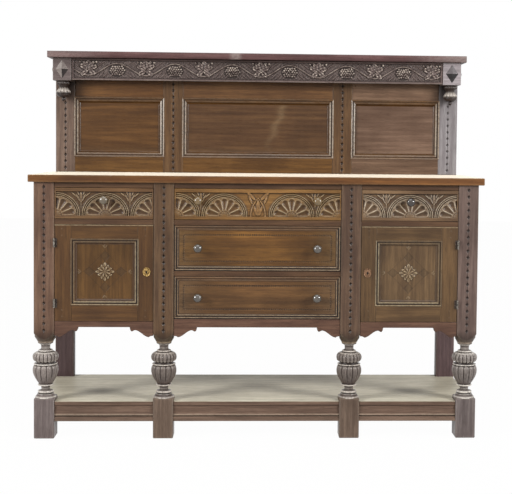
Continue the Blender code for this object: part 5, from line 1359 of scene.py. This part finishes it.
def seen_white(tree):
    """1 for rays from the camera, off gloss and through glass, and 0 for light that falls on the object."""
    rays = add_node(tree, "LightPath").outputs
    seen = rays["Is Camera Ray"]
    for kind in ("Is Glossy Ray", "Is Transmission Ray"):
        seen = add_node(tree, "Math", {0: seen, 1: rays[kind]}, operation="MAXIMUM").outputs[0]
    return seen


def pale_floor():
    """Matt white paint. The camera sees most of it as plain white, so that its shadow stays faint."""
    material = bpy.data.materials.new("matt white studio floor")
    material.use_nodes = True
    tree = material.node_tree
    shader = tree.nodes["Principled BSDF"]
    shader.inputs["Base Color"].default_value = linear("#d6d4d0")
    shader.inputs["Roughness"].default_value = 0.9
    part = add_node(tree, "Math", {0: seen_white(tree), 1: 0.98}, operation="MULTIPLY")
    white = add_node(tree, "Emission", {"Color": (1, 1, 1, 1), "Strength": 1.0})
    both = {0: part.outputs[0], 1: shader.outputs[0], 2: white.outputs[0]}
    surface = tree.nodes["Material Output"].inputs["Surface"]
    tree.links.new(add_node(tree, "MixShader", both).outputs[0], surface)
    return material


FLOOR_HALF = 12.0
floor_mesh = bpy.data.meshes.new("studio_floor")
corners = [(x * FLOOR_HALF, y * FLOOR_HALF, 0) for x, y in ((-1, -1), (1, -1), (1, 1), (-1, 1))]
floor_mesh.from_pydata(corners, [], [(0, 1, 2, 3)])
floor_mesh.materials.append(pale_floor())
floor = bpy.data.objects.new("studio_floor", floor_mesh)
bpy.context.scene.collection.objects.link(floor)

ROOM_LIGHT = 0.28
world = bpy.data.worlds.new("white studio")
world.use_nodes = True
bpy.context.scene.world = world
tree = world.node_tree
room = {"Value": seen_white(tree), "From Min": 0.0, "From Max": 1.0, "To Min": ROOM_LIGHT, "To Max": 1.0}
background = tree.nodes["Background"]
background.inputs["Color"].default_value = (1, 1, 1, 1)
tree.links.new(add_node(tree, "MapRange", room).outputs[0], background.inputs["Strength"])


def soft_lamp(name, place, aim, size, watts):
    """A square lamp turned to face a point."""
    lamp = bpy.data.lights.new(name, "AREA")
    lamp.size = size
    lamp.energy = watts
    thing = bpy.data.objects.new(name, lamp)
    thing.location = place
    away = np.array(place) - np.array(aim)
    tilt = math.atan2(math.hypot(away[0], away[1]), away[2])
    thing.rotation_euler = (tilt, 0, math.atan2(away[0], -away[1]))
    bpy.context.scene.collection.objects.link(thing)


for side, sign in SIDES:
    soft_lamp(f"lamp_{side}", (sign * 3.9, -2.6, 2.2), aim=(sign * 0.2, 0, 0.75), size=1.1, watts=182)
soft_lamp("lamp_overhead", (0, -1.0, 3.6), aim=(0, 0.05, 0.9), size=2.6, watts=55)

CAMERA = (-0.02418, -4.31431, 1.08533)
YAW, PITCH, ROLL = 0.0446, -0.0455, 0.00983
FOCAL_PIXELS, PICTURE_WIDTH, SENSOR = 1108.82, 512, 36.0
SHIFT_PIXELS = (45, -50)
ahead = np.array([math.sin(YAW) * math.cos(PITCH), math.cos(YAW) * math.cos(PITCH), math.sin(PITCH)])
level = np.array([math.cos(YAW), -math.sin(YAW), 0])
upright = np.cross(level, ahead)
across = math.cos(ROLL) * level + math.sin(ROLL) * upright
up = math.cos(ROLL) * upright - math.sin(ROLL) * level
optics = bpy.data.cameras.new("camera")
optics.sensor_width = SENSOR
optics.lens = FOCAL_PIXELS * SENSOR / PICTURE_WIDTH
optics.shift_x = -SHIFT_PIXELS[0] / PICTURE_WIDTH
optics.shift_y = SHIFT_PIXELS[1] / PICTURE_WIDTH
optics.clip_end = 100
camera = bpy.data.objects.new("camera", optics)
turned = np.eye(4)
turned[:3, 0], turned[:3, 1], turned[:3, 2], turned[:3, 3] = across, up, -ahead, CAMERA
camera.matrix_world = Matrix(turned.tolist())
bpy.context.scene.collection.objects.link(camera)
bpy.context.scene.camera = camera
bpy.context.scene.view_settings.view_transform = "Standard"
